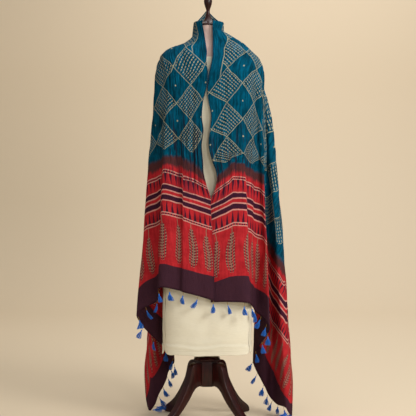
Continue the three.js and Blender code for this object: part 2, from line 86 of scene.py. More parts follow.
# Level rings of the shawl on neck and shoulders: how far it reaches from the axis to each side.
RINGS = table("height left right front back square", [
    (1612, 48, 52, 54, 60, 2.0),
    (1548, 51, 64, 57, 64, 2.0),
    (1512, 55, 66, 60, 67, 2.0),
    (1492, 57, 100, 62, 72, 2.1),
    (1478, 70, 124, 64, 78, 2.1),
    (1465, 88, 146, 67, 86, 2.2),
    (1452, 122, 160, 74, 94, 2.2),
    (1439, 156, 175, 82, 101, 2.3),
    (1415, 180, 199, 97, 108, 2.4),
    (1385, 195, 213, 113, 114, 2.4),
    (1340, 202, 223, 127, 119, 2.4),
])

# The folds from the left front edge round the back to the right front edge. turn is where a fold leaves the
# shoulders, along is where it meets the outer edge, and x, y, z are where that point hangs. bell is how the
# fall swells on its way down.
FOLDS = table("turn along x y z bell", [
    (8, 0, 28, -131, 475, 1),
    (17, 62, -30, -133, 493, 1),
    (26, 122, -86, -135, 508, 1),
    (33, 152, -106, -123, 514, 1),
    (43, 228, -181, -122, 524, 0.95),
    (60, 310, -193, -34, 466, 1.15),
    (82, 435, -270, -22, 399, 1),
    (98, 660, -137, 112, 226, 1.15),
    (108, 790, -150, 170, 172, 1.05),
    (118, 935, -186, 140, 89, 1),
    (128, 1100, -233, 118, 11, 0.9),
    (137, 1365, -254, 176, 188, 0.85),
    (146, 1640, -212, 200, 390, 1.05),
    (155, 1850, -240, 304, 482, 0.85),
    (164, 2040, -112, 134, 524, 1.2),
    (172, 2205, -72, 304, 534, 0.85),
    (180, 2350, 0, 130, 538, 1.2),
    (189, 2495, 76, 306, 534, 0.85),
    (200, 2665, 122, 134, 524, 1.2),
    (212, 2865, 268, 296, 482, 0.7),
    (223, 3080, 240, 172, 392, 0.8),
    (234, 3345, 329, 90, 188, 0.52),
    (244, 3600, 336, 34, 11, 0.5),
    (254, 3705, 305, -12, 49, 0.75),
    (264, 3830, 269, 100, 47, 0.95),
    (274, 3965, 228, 80, 117, 0.95),
    (285, 4110, 183, 106, 227, 1.15),
    (301, 4300, 241, -45, 359, 1),
    (313, 4445, 186, -16, 425, 1.15),
    (327, 4552, 161, -122, 465, 0.95),
    (341, 4625, 87, -128, 471, 1),
    (352, 4700, 17, -124, 469, 1),
])
LAST_FOLD = len(FOLDS["turn"]) - 1
MIDDLE_FOLD = 16  # hangs down the middle of the back

# How the print lies on the hanging folds: the heights at which the cloth is this far from its tasselled end.
# A row between two folds is a tuck, where the print steps. PRINT_YOKE is the distance at shoulder height, and
# PRINT_HEM how far from the end the outer edge is where it is rolled under.
PRINT_LEVELS = (94, 292, 391, 459, 525, 629, 767, 905)
PRINT_HEIGHTS = {
    0: (568, 748, 846, 901, 950, 1100, 1236, 1368),
    1: (581, 765, 864, 927, 992, 1096, 1224, 1356),
    2: (597, 784, 878, 938, 1010, 1090, 1220, 1353),
    2.1: (598, 790, 888, 947, 1016, 1090, 1220, 1353),
    3: (601, 793, 893, 950, 1018, 1088, 1220, 1354),
    4: (614, 805, 906, 966, 1021, 1088, 1231, 1360),
    4.25: (581, 780, 891, 948, 1018, 1084, 1226, 1356),
    5: (568, 766, 879, 939, 1006, 1076, 1218, 1346),
    6: (500, 731, 844, 912, 989, 1062, 1199, 1335),
    9: (197, 440, 560, 645, 720, 850, 1040, 1225),
    10: (147, 400, 525, 615, 700, 830, 1020, 1205),
    22: (64.5, 304, 446, 530, 606, 760, 965, 1170),
    23: (95, 330, 480, 560, 640, 780, 975, 1180),
    24: (175, 375, 539, 610, 684, 815, 985, 1190),
    25: (253, 460, 600, 675, 740, 860, 1010, 1210),
    27: (477, 688, 809, 876, 948, 1000, 1125, 1287),
    28: (517, 723, 837, 903, 968, 1029, 1155, 1297),
    28.9: (545, 745, 855, 921, 980, 1030, 1160, 1298),
    29: (569, 762, 872, 934, 990, 1030, 1162, 1298),
    29.75: (568, 763, 872, 938, 994, 1034, 1158, 1290),
    30: (566, 754, 863, 921, 979, 1034, 1156, 1287),
    31: (539, 726, 825, 880, 945, 1000, 1116, 1257),
}
PRINT_YOKE = (
    [882, 888, 891, 891, 885, 899, 912, 925, 945, 975, 1010, 1045, 1085, 1130, 1170, 1210, 1250]
    + [1210, 1170, 1130, 1085, 1045, 1015, 1000, 985, 975, 965, 961, 950, 949, 961, 993]
)
PRINT_HEM = {22: 50, 23: 50, 24: 20}

# Creases pressed along the folds: at which fold, how wide, from and to which height, and how far out.
TUCKS = (
    (2.0, 0.22, 560, 1010, 3.0),
    (2.45, 0.2, 560, 1010, -3.0),
    (4.05, 0.12, 540, 1200, 3.0),
    (4.55, 0.2, 540, 1200, -7.0),
    (26.35, 0.22, 380, 1330, -9.0),
    (27.0, 0.16, 420, 1330, 3.0),
    (27.5, 0.2, 600, 1330, -9.0),
    (28.2, 0.2, 600, 1330, 3.0),
    (28.72, 0.14, 560, 1060, -6.0),
    (29.0, 0.1, 560, 1060, 2.5),
)

# The wavering opening down the front: where each front edge hangs, and how far the right one tucks in behind.
OPENING = table("height left right tuck", [
    (1546, -19, 23, 0),
    (1500, -11, 22, 0),
    (1407, 1, 21, 0),
    (1388, -5, 19, 0),
    (1340, 5, 9, 2),
    (1289, 5, -1, 7),
    (1250, -11, 1, 0),
    (1171, -19, 15, 0),
    (1118, -13, 10, 0),
    (1060, -20, 6, 0),
    (1000, -15, 20, 0),
    (955, -12, 36, 0),
    (905, 0, 32, 0),
    (859, 15, 17, 3),
    (836, 14, 8, 7),
    (742, 20, 10, 8),
    (644, 26, 12, 8),
    (470, 28, 14, 8),
])

# Level sections of the covered form: half width, reach to front and back, and how square the section is.
FORM = table("height half front back square", [
    (262, 175, 104, 102, 3.2),
    (420, 174, 103, 101, 3.1),
    (620, 170, 101, 99, 2.9),
    (840, 162, 98, 95, 2.7),
    (1010, 151, 95, 89, 2.5),
    (1140, 154, 106, 90, 2.4),
    (1240, 166, 114, 94, 2.4),
    (1330, 180, 104, 99, 2.4),
    (1385, 183, 90, 98, 2.4),
    (1415, 174, 78, 94, 2.4),
    (1439, 150, 68, 88, 2.3),
    (1452, 114, 62, 82, 2.2),
    (1465, 78, 56, 74, 2.2),
    (1478, 60, 51, 64, 2.1),
    (1500, 49, 47, 52, 2.0),
    (1532, 48, 48, 48, 2.0),
])
COVER_NECK_FRONT = 1402
COVER_NECK_BACK = 1484
COVER_HEM = 262
SLIT_TOP = 520
SLIT_TURN = 58
SLIT_RADIUS = 130
SLIT_GAP = 1.6
SLIT_CORNER = 24
FORM_SHOULDER = 1330
TORSO_FOOT = 700
NECK_TOP = 1530.7
NECK_SHIFT = 4
POLE_RADIUS = 14

NECK_CAP = [
    (1531, 45), (1534, 46), (1538, 44), (1541, 37), (1546, 27), (1552, 20), (1562, 14), (1576, 9),
    (1592, 6.5),
]
FINIAL = [
    (1592.3, 6.5), (1600, 8), (1611, 12), (1622, 15), (1634, 16), (1647, 14.5), (1660, 10), (1670, 5.5),
    (1675, 4.2), (1681, 6.4), (1688, 6.4), (1694, 3),
]
LEG_NODES = ["leg_front_left", "leg_front_right", "leg_back_right", "leg_back_left"]
LEG_THICKNESS = 28
LEG_ROOT = 42.75
LEG_OUTLINE = [
    (LEG_ROOT, 224), (54, 226), (64, 228), (75, 227), (86, 221), (94, 210), (99, 195), (104, 176),
    (113, 151), (129, 124), (148, 95), (170, 68), (192, 48), (212, 34), (226, 22), (231, 10), (227, 0),
    (197, 0), (184, 14), (165, 37), (143, 57), (122, 77), (104, 97), (88, 118), (74, 131), (60, 137),
    (LEG_ROOT, 138),
]
BLOCK_BEVEL = 0.0028


# ---------- settings ----------
def length_setting(name, description, default):
    return bpy.props.FloatProperty(
        name=name, description=description, default=default, min=0.0, subtype="DISTANCE", unit="LENGTH"
    )


def colour_setting(name, description, red, green, blue):
    """A colour given as the eye reads it, from 0 to 255, kept as linear light."""

    def linear(value):
        value /= 255
        return value / 12.92 if value <= 0.04045 else ((value + 0.055) / 1.055) ** 2.4

    return bpy.props.FloatVectorProperty(
        name=name, description=description, default=(linear(red), linear(green), linear(blue), 1.0),
        size=4, min=0.0, max=1.0, subtype="COLOR",
    )


class ShawlSettings(bpy.types.PropertyGroup):
    thickness: length_setting("Thickness", "Thickness of the cloth", 0.0012)
    crinkle: length_setting("Crinkle", "Depth of the crinkles between the folds", 0.0017)
    gather: length_setting("Gather", "Depth of the gathers beside the opening", 0.0056)
    teal: colour_setting("Teal", "Ground of the field", 0, 103, 138)
    teal_shade: colour_setting("Teal shade", "Field where the dye is darker", 0, 52, 70)
    # Painted shade: the colour laid into the furrows of the field's crinkles and gathers.
    crease: colour_setting("Crease", "Field in the furrows of its crinkles", 0, 22, 34)
    red: colour_setting("Red", "Ground of the ends", 215, 55, 62)
    red_shade: colour_setting("Red shade", "Ends where the dye is darker", 148, 26, 34)
    brown: colour_setting("Brown", "Dipped band between field and ends", 84, 48, 50)
    hem: colour_setting("Hem", "Plain band above the tassels", 68, 40, 52)
    line: colour_setting("Line", "Lines of the borders", 216, 170, 158)
    ink: colour_setting("Ink", "Dark print of the borders", 42, 28, 48)
    dot: colour_setting("Dot", "Light print of the field", 190, 184, 148)
    leaf: colour_setting("Leaf", "Light print of the sprays", 138, 132, 112)


class TasselSettings(bpy.types.PropertyGroup):
    cord: length_setting("Cord", "Length of the thread above the head", 0.013)
    head: length_setting("Head", "Length of the bound head", 0.007)
    skirt: length_setting("Skirt", "Length of the loose threads", 0.027)
    spread: length_setting("Spread", "Radius of the skirt at its foot", 0.0098)
    threads: bpy.props.IntProperty(
        name="Threads", description="Loose threads in a ring", default=26, min=6, max=40
    )
    blue: colour_setting("Blue", "Colour of the tassels", 8, 132, 238)
    blue_shade: colour_setting("Blue shade", "Threads that are dyed darker", 6, 84, 184)
    gold: colour_setting("Gold", "Colour of the thread", 176, 138, 62)


class FormSettings(bpy.types.PropertyGroup):
    cotton: colour_setting("Cotton", "Colour of the cover", 244, 238, 216)
    jersey: colour_setting("Jersey", "Colour of the neck", 226, 196, 186)
    wood: colour_setting("Wood", "Colour of the polished wood", 22, 9, 8)
    wood_warm: colour_setting("Warm wood", "Grain of the polished wood", 66, 17, 14)
    hem_depth: length_setting("Hem depth", "Depth of the cover's turned hem", 0.018)
    bevel: length_setting("Bevel", "Rounding of the foot's edges", 0.006)


class StageSettings(bpy.types.PropertyGroup):
    backdrop: colour_setting("Backdrop", "Colour of the paper behind and below", 228, 212, 186)
    distance: length_setting("Distance", "From the camera to the pole", 3.6)
    height: length_setting("Height", "Height of the camera", 0.825)


# ---------- shapes ----------
def smooth_column(column, position):
    """Smooth value of a column at row positions: 0 at the first row, 1 at the second, and so on."""
    last = len(column) - 1
    i = np.minimum(np.floor(position), last - 1).astype(int)
    f = position - i
    p0, p1, p2, p3 = (column[np.clip(i + k, 0, last)] for k in (-1, 0, 1, 2))
    return p1 + 0.5 * f * (p2 - p0 + f * (2 * p0 - 5 * p1 + 4 * p2 - p3 + f * (3 * (p1 - p2) + p3 - p0)))


def linear_column(column, position):
    """Value of a column at row positions, straight from row to row."""
    return np.interp(position, np.arange(len(column)), column)


def row_at(column, value):
    """Row position at which a steadily rising or falling column reaches a value."""
    rows = np.arange(len(column))
    if column[-1] < column[0]:
        return np.interp(value, column[::-1], rows[::-1])
    return np.interp(value, column, rows)


def section_point(turn, side, depth, square):
    """Plan point of a level section at a turn from the front: 90 is the left side, 180 the back."""
    s, c = np.sin(np.radians(turn)), np.cos(np.radians(turn))
    scale = (np.abs(s) ** square + np.abs(c) ** square) ** (-1 / square)
    return -s * scale * side, -c * scale * depth


def behind(turn):
    """True where a turn looks to the back."""
    return (turn > 90) & (turn < 270)


def either(sections, first, second, chosen, row):
    """One column of a table where chosen holds and another elsewhere, at row positions."""
    return np.where(chosen, linear_column(sections[first], row), linear_column(sections[second], row))


def fall_point(t, height):
    """Plan point of the fold line at row position t where it passes a height, before its edge wavers."""
    turn = linear_column(FOLDS["turn"], t)
    row = row_at(RINGS["height"], np.maximum(height, SHOULDER))
    side = either(RINGS, "left", "right", turn < 180, row)
    depth = either(RINGS, "back", "front", behind(turn), row)
    x, y = section_point(turn, side, depth, linear_column(RINGS["square"], row))
    drop = (SHOULDER - height) / (SHOULDER - smooth_column(FOLDS["z"], t))
    share = np.clip(drop, 0, 1) ** linear_column(FOLDS["bell"], t)
    end_x, end_y = smooth_column(FOLDS["x"], t), smooth_column(FOLDS["y"], t)
    return x + (end_x - x) * share, y + (end_y - y) * share


def shawl_point(t, height):
    """Plan point of the shawl's middle surface, with the wavering edges of its opening."""
    x, y = fall_point(t, height)
    along = linear_column(FOLDS["along"], t)
    row = row_at(OPENING["height"], height)
    left, right = (np.clip(1 - far / OPENING_REACH, 0, 1) ** 2 for far in (along, OUTER_EDGE - along))
    for edge, key, share in (("left", 0, left), ("right", LAST_FOLD, right)):
        edge_x, _ = fall_point(np.full_like(t, key), height)
        x = x + share * (smooth_column(OPENING[edge], row) - edge_x)
    return x, y + right * np.maximum(0, smooth_column(OPENING["tuck"], row))


def soft_noise(x, y, seed):
    """Smooth noise from -1 to 1 over a plane, one bump to a unit."""
    values = np.random.default_rng(seed).uniform(-1, 1, (256, 256))
    i, j = np.floor(x).astype(int), np.floor(y).astype(int)
    f, g = x - i, y - j
    f, g = f * f * (3 - 2 * f), g * g * (3 - 2 * g)
    at = lambda a, b: values[a % 256, b % 256]
    near = at(i, j) * (1 - f) + at(i + 1, j) * f
    far = at(i, j + 1) * (1 - f) + at(i + 1, j + 1) * f
    return near * (1 - g) + far * g


def ease(value, low, high):
    """Rises smoothly from 0 to 1 between two values."""
    share = np.clip((value - low) / (high - low), 0, 1)
    return share * share * (3 - 2 * share)


def print_levels(key, share):
    """Distance of one fold's cloth from its nearer end, at shares of its fall."""
    end, along = (float(linear_column(FOLDS[name], key)) for name in ("z", "along"))
    hem = min(max(along - SHAWL_WIDTH, 0), SHAWL_LENGTH)
    hem = (SHAWL_LENGTH - hem if key > MIDDLE_FOLD else hem) + PRINT_HEM.get(key, 0)
    pairs = [(end, hem), (SHOULDER, float(linear_column(np.array(PRINT_YOKE), key)))]
    printed = zip(PRINT_HEIGHTS.get(key, ()), PRINT_LEVELS)
    pairs += [(height, level) for height, level in printed if height < SHOULDER - 25]
    return np.interp(SHOULDER + (end - SHOULDER) * share, *np.array(sorted(pairs), float).T)


def print_distance(t, share):
    """Distance of the hanging cloth from its left end, at shares of its fall from the shoulders."""
    keys = sorted({*range(LAST_FOLD + 1), *PRINT_HEIGHTS})
    levels = np.array([print_levels(key, share) for key in keys])
    right = np.array(keys) > MIDDLE_FOLD
    levels[right] = SHAWL_LENGTH - levels[right]
    place = np.interp(t, keys, np.arange(len(keys)))
    i = np.minimum(np.floor(place), len(keys) - 2).astype(int)
    f = (place - i)[:, None]
    return levels[i] * (1 - f) + levels[i + 1] * f


def shawl_columns():
    """Row positions of the fine columns, closest at the front."""
    spans = [(0, 4, 62), (4, 6, 26), (6, 10, 30), (10, 22, 76), (22, 27, 38), (27, 29, 26), (29, 31, 42)]
    parts = [np.linspace(low, high, count, endpoint=False) for low, high, count in spans]
    return np.concatenate([*parts, [float(LAST_FOLD)]])


def shawl_heights(t, turn, drop):
    """Heights of the shawl's rows on every column: the collar, the shoulders and the fall below them."""
    back = np.where(behind(turn), 1 - np.abs(np.sin(np.radians(turn))), 0)
    top = COLLAR_FRONT + (COLLAR_BACK - COLLAR_FRONT) * back
    collar = top[:, None] + (COLLAR_FOOT - top[:, None]) * np.linspace(0, 1, BAND_ROWS + 1)[:-1]
    yoke = np.linspace(COLLAR_FOOT, SHOULDER, YOKE_ROWS + 1)[None, :-1]
    fall = SHOULDER + (smooth_column(FOLDS["z"], t)[:, None] - SHOULDER) * drop
    return np.hstack([collar, np.repeat(yoke, len(t), 0), fall])


def round_off(values, bend, reach=14, passes=40):
    """Smooths the rows of a grid near the row at which it bends."""
    rows = np.arange(1, values.shape[1] - 1)
    weight = np.clip(1.2 - np.abs(rows - bend) / reach, 0, 1)
    for _ in range(passes):
        mean = (values[:, :-2] + 2 * values[:, 1:-1] + values[:, 2:]) / 4
        values[:, 1:-1] += (mean - values[:, 1:-1]) * weight


def from_opening(ring):
    """Distance of the points of a level ring from the nearer of its two ends."""
    steps = np.hypot(*np.diff(ring[:, :2], axis=0).T)
    arc = np.concatenate([[0], np.cumsum(steps)])
    return np.minimum(arc, arc[-1] - arc)


def print_place(t, turn, drop, points):
    """Print coordinates: across is the distance from the neck edge, down the distance from the left end."""
    start = BAND_ROWS + YOKE_ROWS
    arc = from_opening(points[:, start])
    yoke_across = arc / (1 + (arc / 360) ** 4) ** 0.25
    along = linear_column(FOLDS["along"], t)
    hem_across = np.minimum(np.minimum(along, OUTER_EDGE - along), SHAWL_WIDTH)
    bias = np.interp(t, [20, 22, 25, 26], [1, 1.5, 1.5, 1])
    fall_across = yoke_across[:, None] + (hem_across - yoke_across)[:, None] * drop ** bias[:, None]
    fall_down = print_distance(t, drop)

    # From the collar's edge to the shoulders both run on evenly.
    neck_across = np.minimum(from_opening(points[:, BAND_ROWS - 2]), COLLAR_DEPTH)
    neck_down = np.interp(turn, FOLDS["turn"][[0, LAST_FOLD]], COLLAR_ENDS)
    rise = np.cumsum(np.linalg.norm(np.diff(points[:, : start + 1], axis=1), axis=2), 1)
    rise = np.hstack([np.zeros((len(t), 1)), rise])
    share = (rise / rise[:, -1:])[:, :-1]
    top_across = neck_across[:, None] + (yoke_across - neck_across)[:, None] * share
    top_down = neck_down[:, None] + (fall_down[:, 0] - neck_down)[:, None] * share
    return np.hstack([top_across, fall_across]), np.hstack([top_down, fall_down])


def shawl_surface(settings):
    """Points, in millimetres, and print coordinates of the shawl, column by column from the collar down."""
    t = shawl_columns()
    turn = linear_column(FOLDS["turn"], t)
    drop = np.linspace(0, 1, FALL_ROWS)
    height = shawl_heights(t, turn, drop)
    fine_t = np.repeat(t[:, None], height.shape[1], 1)
    x, y = shawl_point(fine_t, height)
    for values in (x, y):
        round_off(values, BAND_ROWS + YOKE_ROWS)
    points = np.stack([x, y, height], -1)
    across, down = print_place(t, turn, drop, points)
    points = clear_of_form(crinkled(points, across, down, fine_t, settings))
    return points, np.stack([across, down], -1) * MM


def surface_normals(points):
    """Unit normals at the points of a grid."""
    normals = np.cross(np.gradient(points, axis=0), np.gradient(points, axis=1))
    return normals / np.maximum(np.linalg.norm(normals, axis=2, keepdims=True), 1e-9)


def crinkled(points, across, down, t, settings):
    """Adds the crinkles of the field, the gathers and creases beside the opening, and the tucks."""
    end = np.minimum(down, SHAWL_LENGTH - down)
    x, height = points[..., 0], points[..., 2]
    hanging = 1 - ease(height, 1440, 1500)
    field = 0.3 + 0.7 * ease(end, 430, 600)
    fine = soft_noise(across / 10 + down / 900, down / 85, 3)
    fine += 0.8 * soft_noise(across / 19 + 40, down / 130, 5)
    depth = settings.crinkle / MM * field * fine * (0.45 + 0.55 * hanging)
    depth += 3.4 * soft_noise(across / 46 + 9, down / 230, 11) * ease(across, 10, 70) * hanging

    # Gathers hang from the foot of the opening.
    window = ease(end, 380, 500) * (1 - ease(end, 640, 800)) * (1 - ease(across, 70, 210))
    depth += settings.gather / MM * window * soft_noise(across / 9 + down / 300, down / 190, 21)

    # Creases run out from where the two edges meet.
    side = np.where(t < MIDDLE_FOLD, 5 - x, x - 5)
    rise = height - OPENING_MEETS
    reach = np.hypot(side, rise * 0.8)
    angle = np.arctan2(rise, np.maximum(side, 0) + 3)
    front = (t < 4.2) | (t > 28.9)
    depth += front * 3.2 * np.sin(angle * 8 + 0.6) * ease(reach, 6, 40) * np.exp(-reach / 80)

    # The side folds are creased more sharply than their own swing gives.
    for key, width, low, high, push in TUCKS:
        band = ease(height, low, low + 90) * (1 - ease(height, high - 90, high))
        depth += push * band * np.exp(-(((t - key) / width) ** 2))
    return points + surface_normals(points) * depth[..., None]


def neck_shift(height):
    """How far the form leans to the right as it goes up into its neck."""
    return NECK_SHIFT * np.clip((height - FORM_SHOULDER) / 170, 0, 1)


def form_fit(points):
    """How far out plan points lie from the covered form's section: 1 on it, more outside."""
    x, y, height = points[..., 0], points[..., 1], points[..., 2]
    row = row_at(FORM["height"], height)
    half = linear_column(FORM["half"], row)
    depth = either(FORM, "front", "back", y < 0, row)
    square = linear_column(FORM["square"], row)
    outwards = (np.abs(x - neck_shift(height)) / half) ** square + (np.abs(y) / depth) ** square
    return outwards ** (1 / square), np.minimum(half, depth)


def clear_of_form(points):
    """Keeps the shawl a little outside the cover."""
    fit, reach = form_fit(points)
    height = points[..., 2]
    margin = 2.6 + 2.5 * ease(height, 1380, 1430)
    least = 1 + margin / reach
    scale = np.where((height > COVER_HEM - 5) & (fit < least), least / fit, 1)
    points[..., :2] *= scale[..., None]
    return points


def form_point(turn, height):
    """Plan point of the covered form at a turn and a height."""
    row = row_at(FORM["height"], height)
    depth = either(FORM, "back", "front", behind(turn), row)
    x, y = section_point(turn, linear_column(FORM["half"], row), depth, linear_column(FORM["square"], row))
    return x + neck_shift(height), y


def neckline(turn):
    """Height of the cover's edge at the neck, lower at the front."""
    front = ((1 + np.cos(np.radians(turn))) / 2) ** 3
    return COVER_NECK_BACK + (COVER_NECK_FRONT - COVER_NECK_BACK) * front


def cover_rows():
    """Heights of the cover's rows from its shoulders down, and how far its slits stand open there."""
    rise = np.concatenate([np.linspace(0, 60, 25), np.linspace(60, SLIT_TOP - COVER_HEM, 20)[1:]])
    body = np.concatenate([COVER_HEM + rise, np.linspace(SLIT_TOP, FORM_SHOULDER, 42)[1:]])[::-1]
    rounding = SLIT_CORNER - np.sqrt(np.maximum(SLIT_CORNER**2 - (SLIT_CORNER - rise) ** 2, 0))
    gap = SLIT_GAP + np.where(rise < SLIT_CORNER, rounding, 0)
    gap = np.concatenate([gap, np.zeros(len(body) - len(gap))])[::-1]
    return body, np.degrees(np.where(body >= SLIT_TOP - 1, 0, gap) / SLIT_RADIUS)


def cover_panel(low, high, count, seed, hem_depth):
    """Points of one panel of the cover between two turns, with its rippled, turned and creased hem."""
    body, opening = cover_rows()
    share = np.linspace(0, 1, count)[:, None]
    turn = (low + opening) * (1 - share) + (high - opening) * share
    yoke_share = np.linspace(1, 0, 16)[:-1]
    yoke = FORM_SHOULDER + (neckline(turn[:, :1]) - FORM_SHOULDER) * yoke_share
    height = np.hstack([yoke, np.repeat(body[None], count, 0)])
    turn = np.hstack([np.repeat(turn[:, :1], len(yoke_share), 1), turn])
    x, y = form_point(turn % 360, height)

    rise = height - COVER_HEM
    ripple = soft_noise(turn / 14, rise / 40 + 3, 31 + seed) * 2.0 * (1 - ease(height, 400, 600))
    sag = 30 + 5 * soft_noise(turn / 18, turn * 0, 8)
    crease = np.exp(-(((rise - sag) / 6) ** 2)) * 1.6 - np.exp(-(((rise - sag - 11) / 7) ** 2))
    band = 0.9 * (1 - ease(rise, hem_depth - 1.5, hem_depth + 1.5))
    puff = np.exp(-(((rise - hem_depth - 5) / 5) ** 2)) * 0.7
    push = (ripple - 1.5) * (1 - ease(rise, 200, 300)) + (crease + puff + band - 1.0) * (rise < 90)
    scale = 1 + np.minimum(push, 1.2) / np.hypot(x, y)
    near_hem = 1 - ease(rise, 10, 90)
    lift = 2.4 * soft_noise(turn / 12, turn * 0 + 5, 77 + seed) * near_hem + 1.6 * near_hem
    return np.stack([x * scale, y * scale, height + lift], -1)


# ---------- meshes ----------
SHARP = 50  # degrees past which an edge stays sharp


def link(name, mesh):
    """A new object in the scene with a mesh, a lamp or a camera as its data."""
    made = bpy.data.objects.new(name, mesh)
    bpy.context.scene.collection.objects.link(made)
    return made


def grid_mesh(name, points, uv=None, closed=False):
    """A mesh through a grid of points in millimetres about the pole's axis, smooth shaded."""
    columns, rows = points.shape[:2]
    mesh = bpy.data.meshes.new(name)
    flat = points.reshape(-1, 3) * MM + AXIS
    index = np.arange(columns * rows).reshape(columns, rows)
    beside = np.roll(index, -1, 0) if closed else index[1:]
    here = index if closed else index[:-1]
    faces = np.stack([here[:, :-1], beside[:, :-1], beside[:, 1:], here[:, 1:]], -1).reshape(-1, 4)
    mesh.from_pydata(flat.tolist(), [], faces.tolist())
    if uv is not None:
        layer = mesh.uv_layers.new(name="Print")
        layer.data.foreach_set("uv", uv.reshape(-1, 2)[faces.ravel()].ravel())
    mesh.shade_smooth()
    mesh.update()
    return mesh


def add_grid(shape, points, closed=False):
    """Adds a grid of points to a shape that is being built."""
    mesh = grid_mesh("grid", points, closed=closed)
    shape.from_mesh(mesh)
    bpy.data.meshes.remove(mesh)


def applied(made):
    """Turns the modifiers of an object into its plain mesh."""
    depsgraph = bpy.context.evaluated_depsgraph_get()
    mesh = bpy.data.meshes.new_from_object(made.evaluated_get(depsgraph), depsgraph=depsgraph)
    made.modifiers.clear()
    made.data = mesh
    return made


def thickened(made, thickness, outward=0.0):
    """Gives a sheet its thickness, to both sides of it or to one."""
    wall = made.modifiers.new("Wall", "SOLIDIFY")
    wall.thickness = thickness
    wall.offset = outward
    wall.use_even_offset = False
    return applied(made)


def from_bmesh(name, shape, sharp=None):
    """An object from a closed shape, smooth but for edges past the sharp angle in degrees."""
    bmesh.ops.recalc_face_normals(shape, faces=shape.faces)
    mesh = bpy.data.meshes.new(name)
    shape.to_mesh(mesh)
    shape.free()
    if sharp is not None:
        mesh.shade_smooth()
        mesh.set_sharp_from_angle(angle=math.radians(sharp))
    return link(name, mesh)


def ringed_solid(name, rings, sharp=None):
    """A closed solid through rings of points in millimetres about the pole's axis."""
    shape = bmesh.new()
    rings = [[shape.verts.new(np.array(point) * MM + AXIS) for point in ring] for ring in rings]
    for low, high in zip(rings, rings[1:]):
        for k in range(len(low)):
            n = (k + 1) % len(low)
            shape.faces.new((low[k], low[n], high[n], high[k]))
    shape.faces.new(rings[0][::-1])
    shape.faces.new(rings[-1])
    return from_bmesh(name, shape, sharp)


def turned_piece(name, profile, shift, around=48):
    """A turned wooden piece through a smooth profile of heights and radii."""
    heights, radii = np.array(profile, float).T
    rows = np.linspace(0, len(profile) - 1, 6 * (len(profile) - 1) + 1)
    radii = np.maximum(smooth_column(radii, rows), 0.5)
    angles = [2 * math.pi * k / around for k in range(around)]
    rings = [
        [(shift + radius * math.cos(angle), radius * math.sin(angle), height) for angle in angles]
        for height, radius in zip(smooth_column(heights, rows), radii)
    ]
    return ringed_solid(name, rings, SHARP)


def bevelled(made, width):
    """Rounds the edges of a solid."""
    edge = made.modifiers.new("Edge", "BEVEL")
    edge.width = width
    edge.segments = 3
    edge.limit_method = "ANGLE"
    edge.angle_limit = math.radians(35)
    edge.harden_normals = False
    made = applied(made)
    made.data.shade_smooth()
    return made


# ---------- nodes ----------
def adds(operation, reflected=False):
    """A method that adds one Math node, with its value last where the operator is reflected."""

    def method(self, *others):
        return self.math(operation, *((*others, self) if reflected else (self, *others)))

    return method


class Number:
    """A node's output: Python's operators on it add Math nodes to its tree."""

    def __init__(self, nodes, socket):
        self.nodes = nodes
        self.socket = socket

    def math(self, operation, *values, clamp=False):
        settings = {"operation": operation, "use_clamp": clamp}
        return self.nodes.node("ShaderNodeMath", settings, dict(enumerate(values)))

    __add__, __radd__ = adds("ADD"), adds("ADD", True)
    __sub__, __rsub__ = adds("SUBTRACT"), adds("SUBTRACT", True)
    __mul__, __rmul__ = adds("MULTIPLY"), adds("MULTIPLY", True)
    __truediv__, __rtruediv__ = adds("DIVIDE"), adds("DIVIDE", True)
    __pow__, __rpow__ = adds("POWER"), adds("POWER", True)
    __abs__ = adds("ABSOLUTE")
    least, most = adds("MINIMUM"), adds("MAXIMUM")
    fraction, rounded, direction = adds("FRACT"), adds("ROUND"), adds("ARCTAN2")
    sine, cosine, times_plus = adds("SINE"), adds("COSINE"), adds("MULTIPLY_ADD")

    def above(self, edge, soft):
        """1 where the value is above an edge, 0 below it, with a soft step between."""
        return self.math("MULTIPLY_ADD", self - edge, 1 / soft, 0.5, clamp=True)

    def below(self, edge, soft):
        return self.above(edge, -soft)

    def between(self, low, high, soft):
        return self.above(low, soft) * self.below(high, soft)

    def off_middle(self, pitch=1):
        """How far the value lies from the middle of its repeat, as a share of the pitch."""
        return abs((self / pitch).fraction() - 0.5)


class Nodes:
    """A node tree. Each node gets its settings first, and then the values or links of its inputs."""

    def node(self, kind, settings=None, inputs=None, output=0):
        made = self.tree.nodes.new(kind)
        for key, value in (settings or {}).items():
            setattr(made, key, value)
        for key, value in (inputs or {}).items():
            for item in value if isinstance(value, list) else [value]:
                if isinstance(item, Number):
                    self.tree.links.new(item.socket, made.inputs[key])
                else:
                    made.inputs[key].default_value = item
        return Number(self, made.outputs[output])

    def vector(self, x, y, z=0.0):
        return self.node("ShaderNodeCombineXYZ", None, {0: x, 1: y, 2: z})

    def noise(self, vector, scale, detail=2.0, roughness=0.5, output=0):
        inputs = {"Vector": vector, "Scale": scale, "Detail": detail, "Roughness": roughness}
        return self.node("ShaderNodeTexNoise", None, inputs, output)


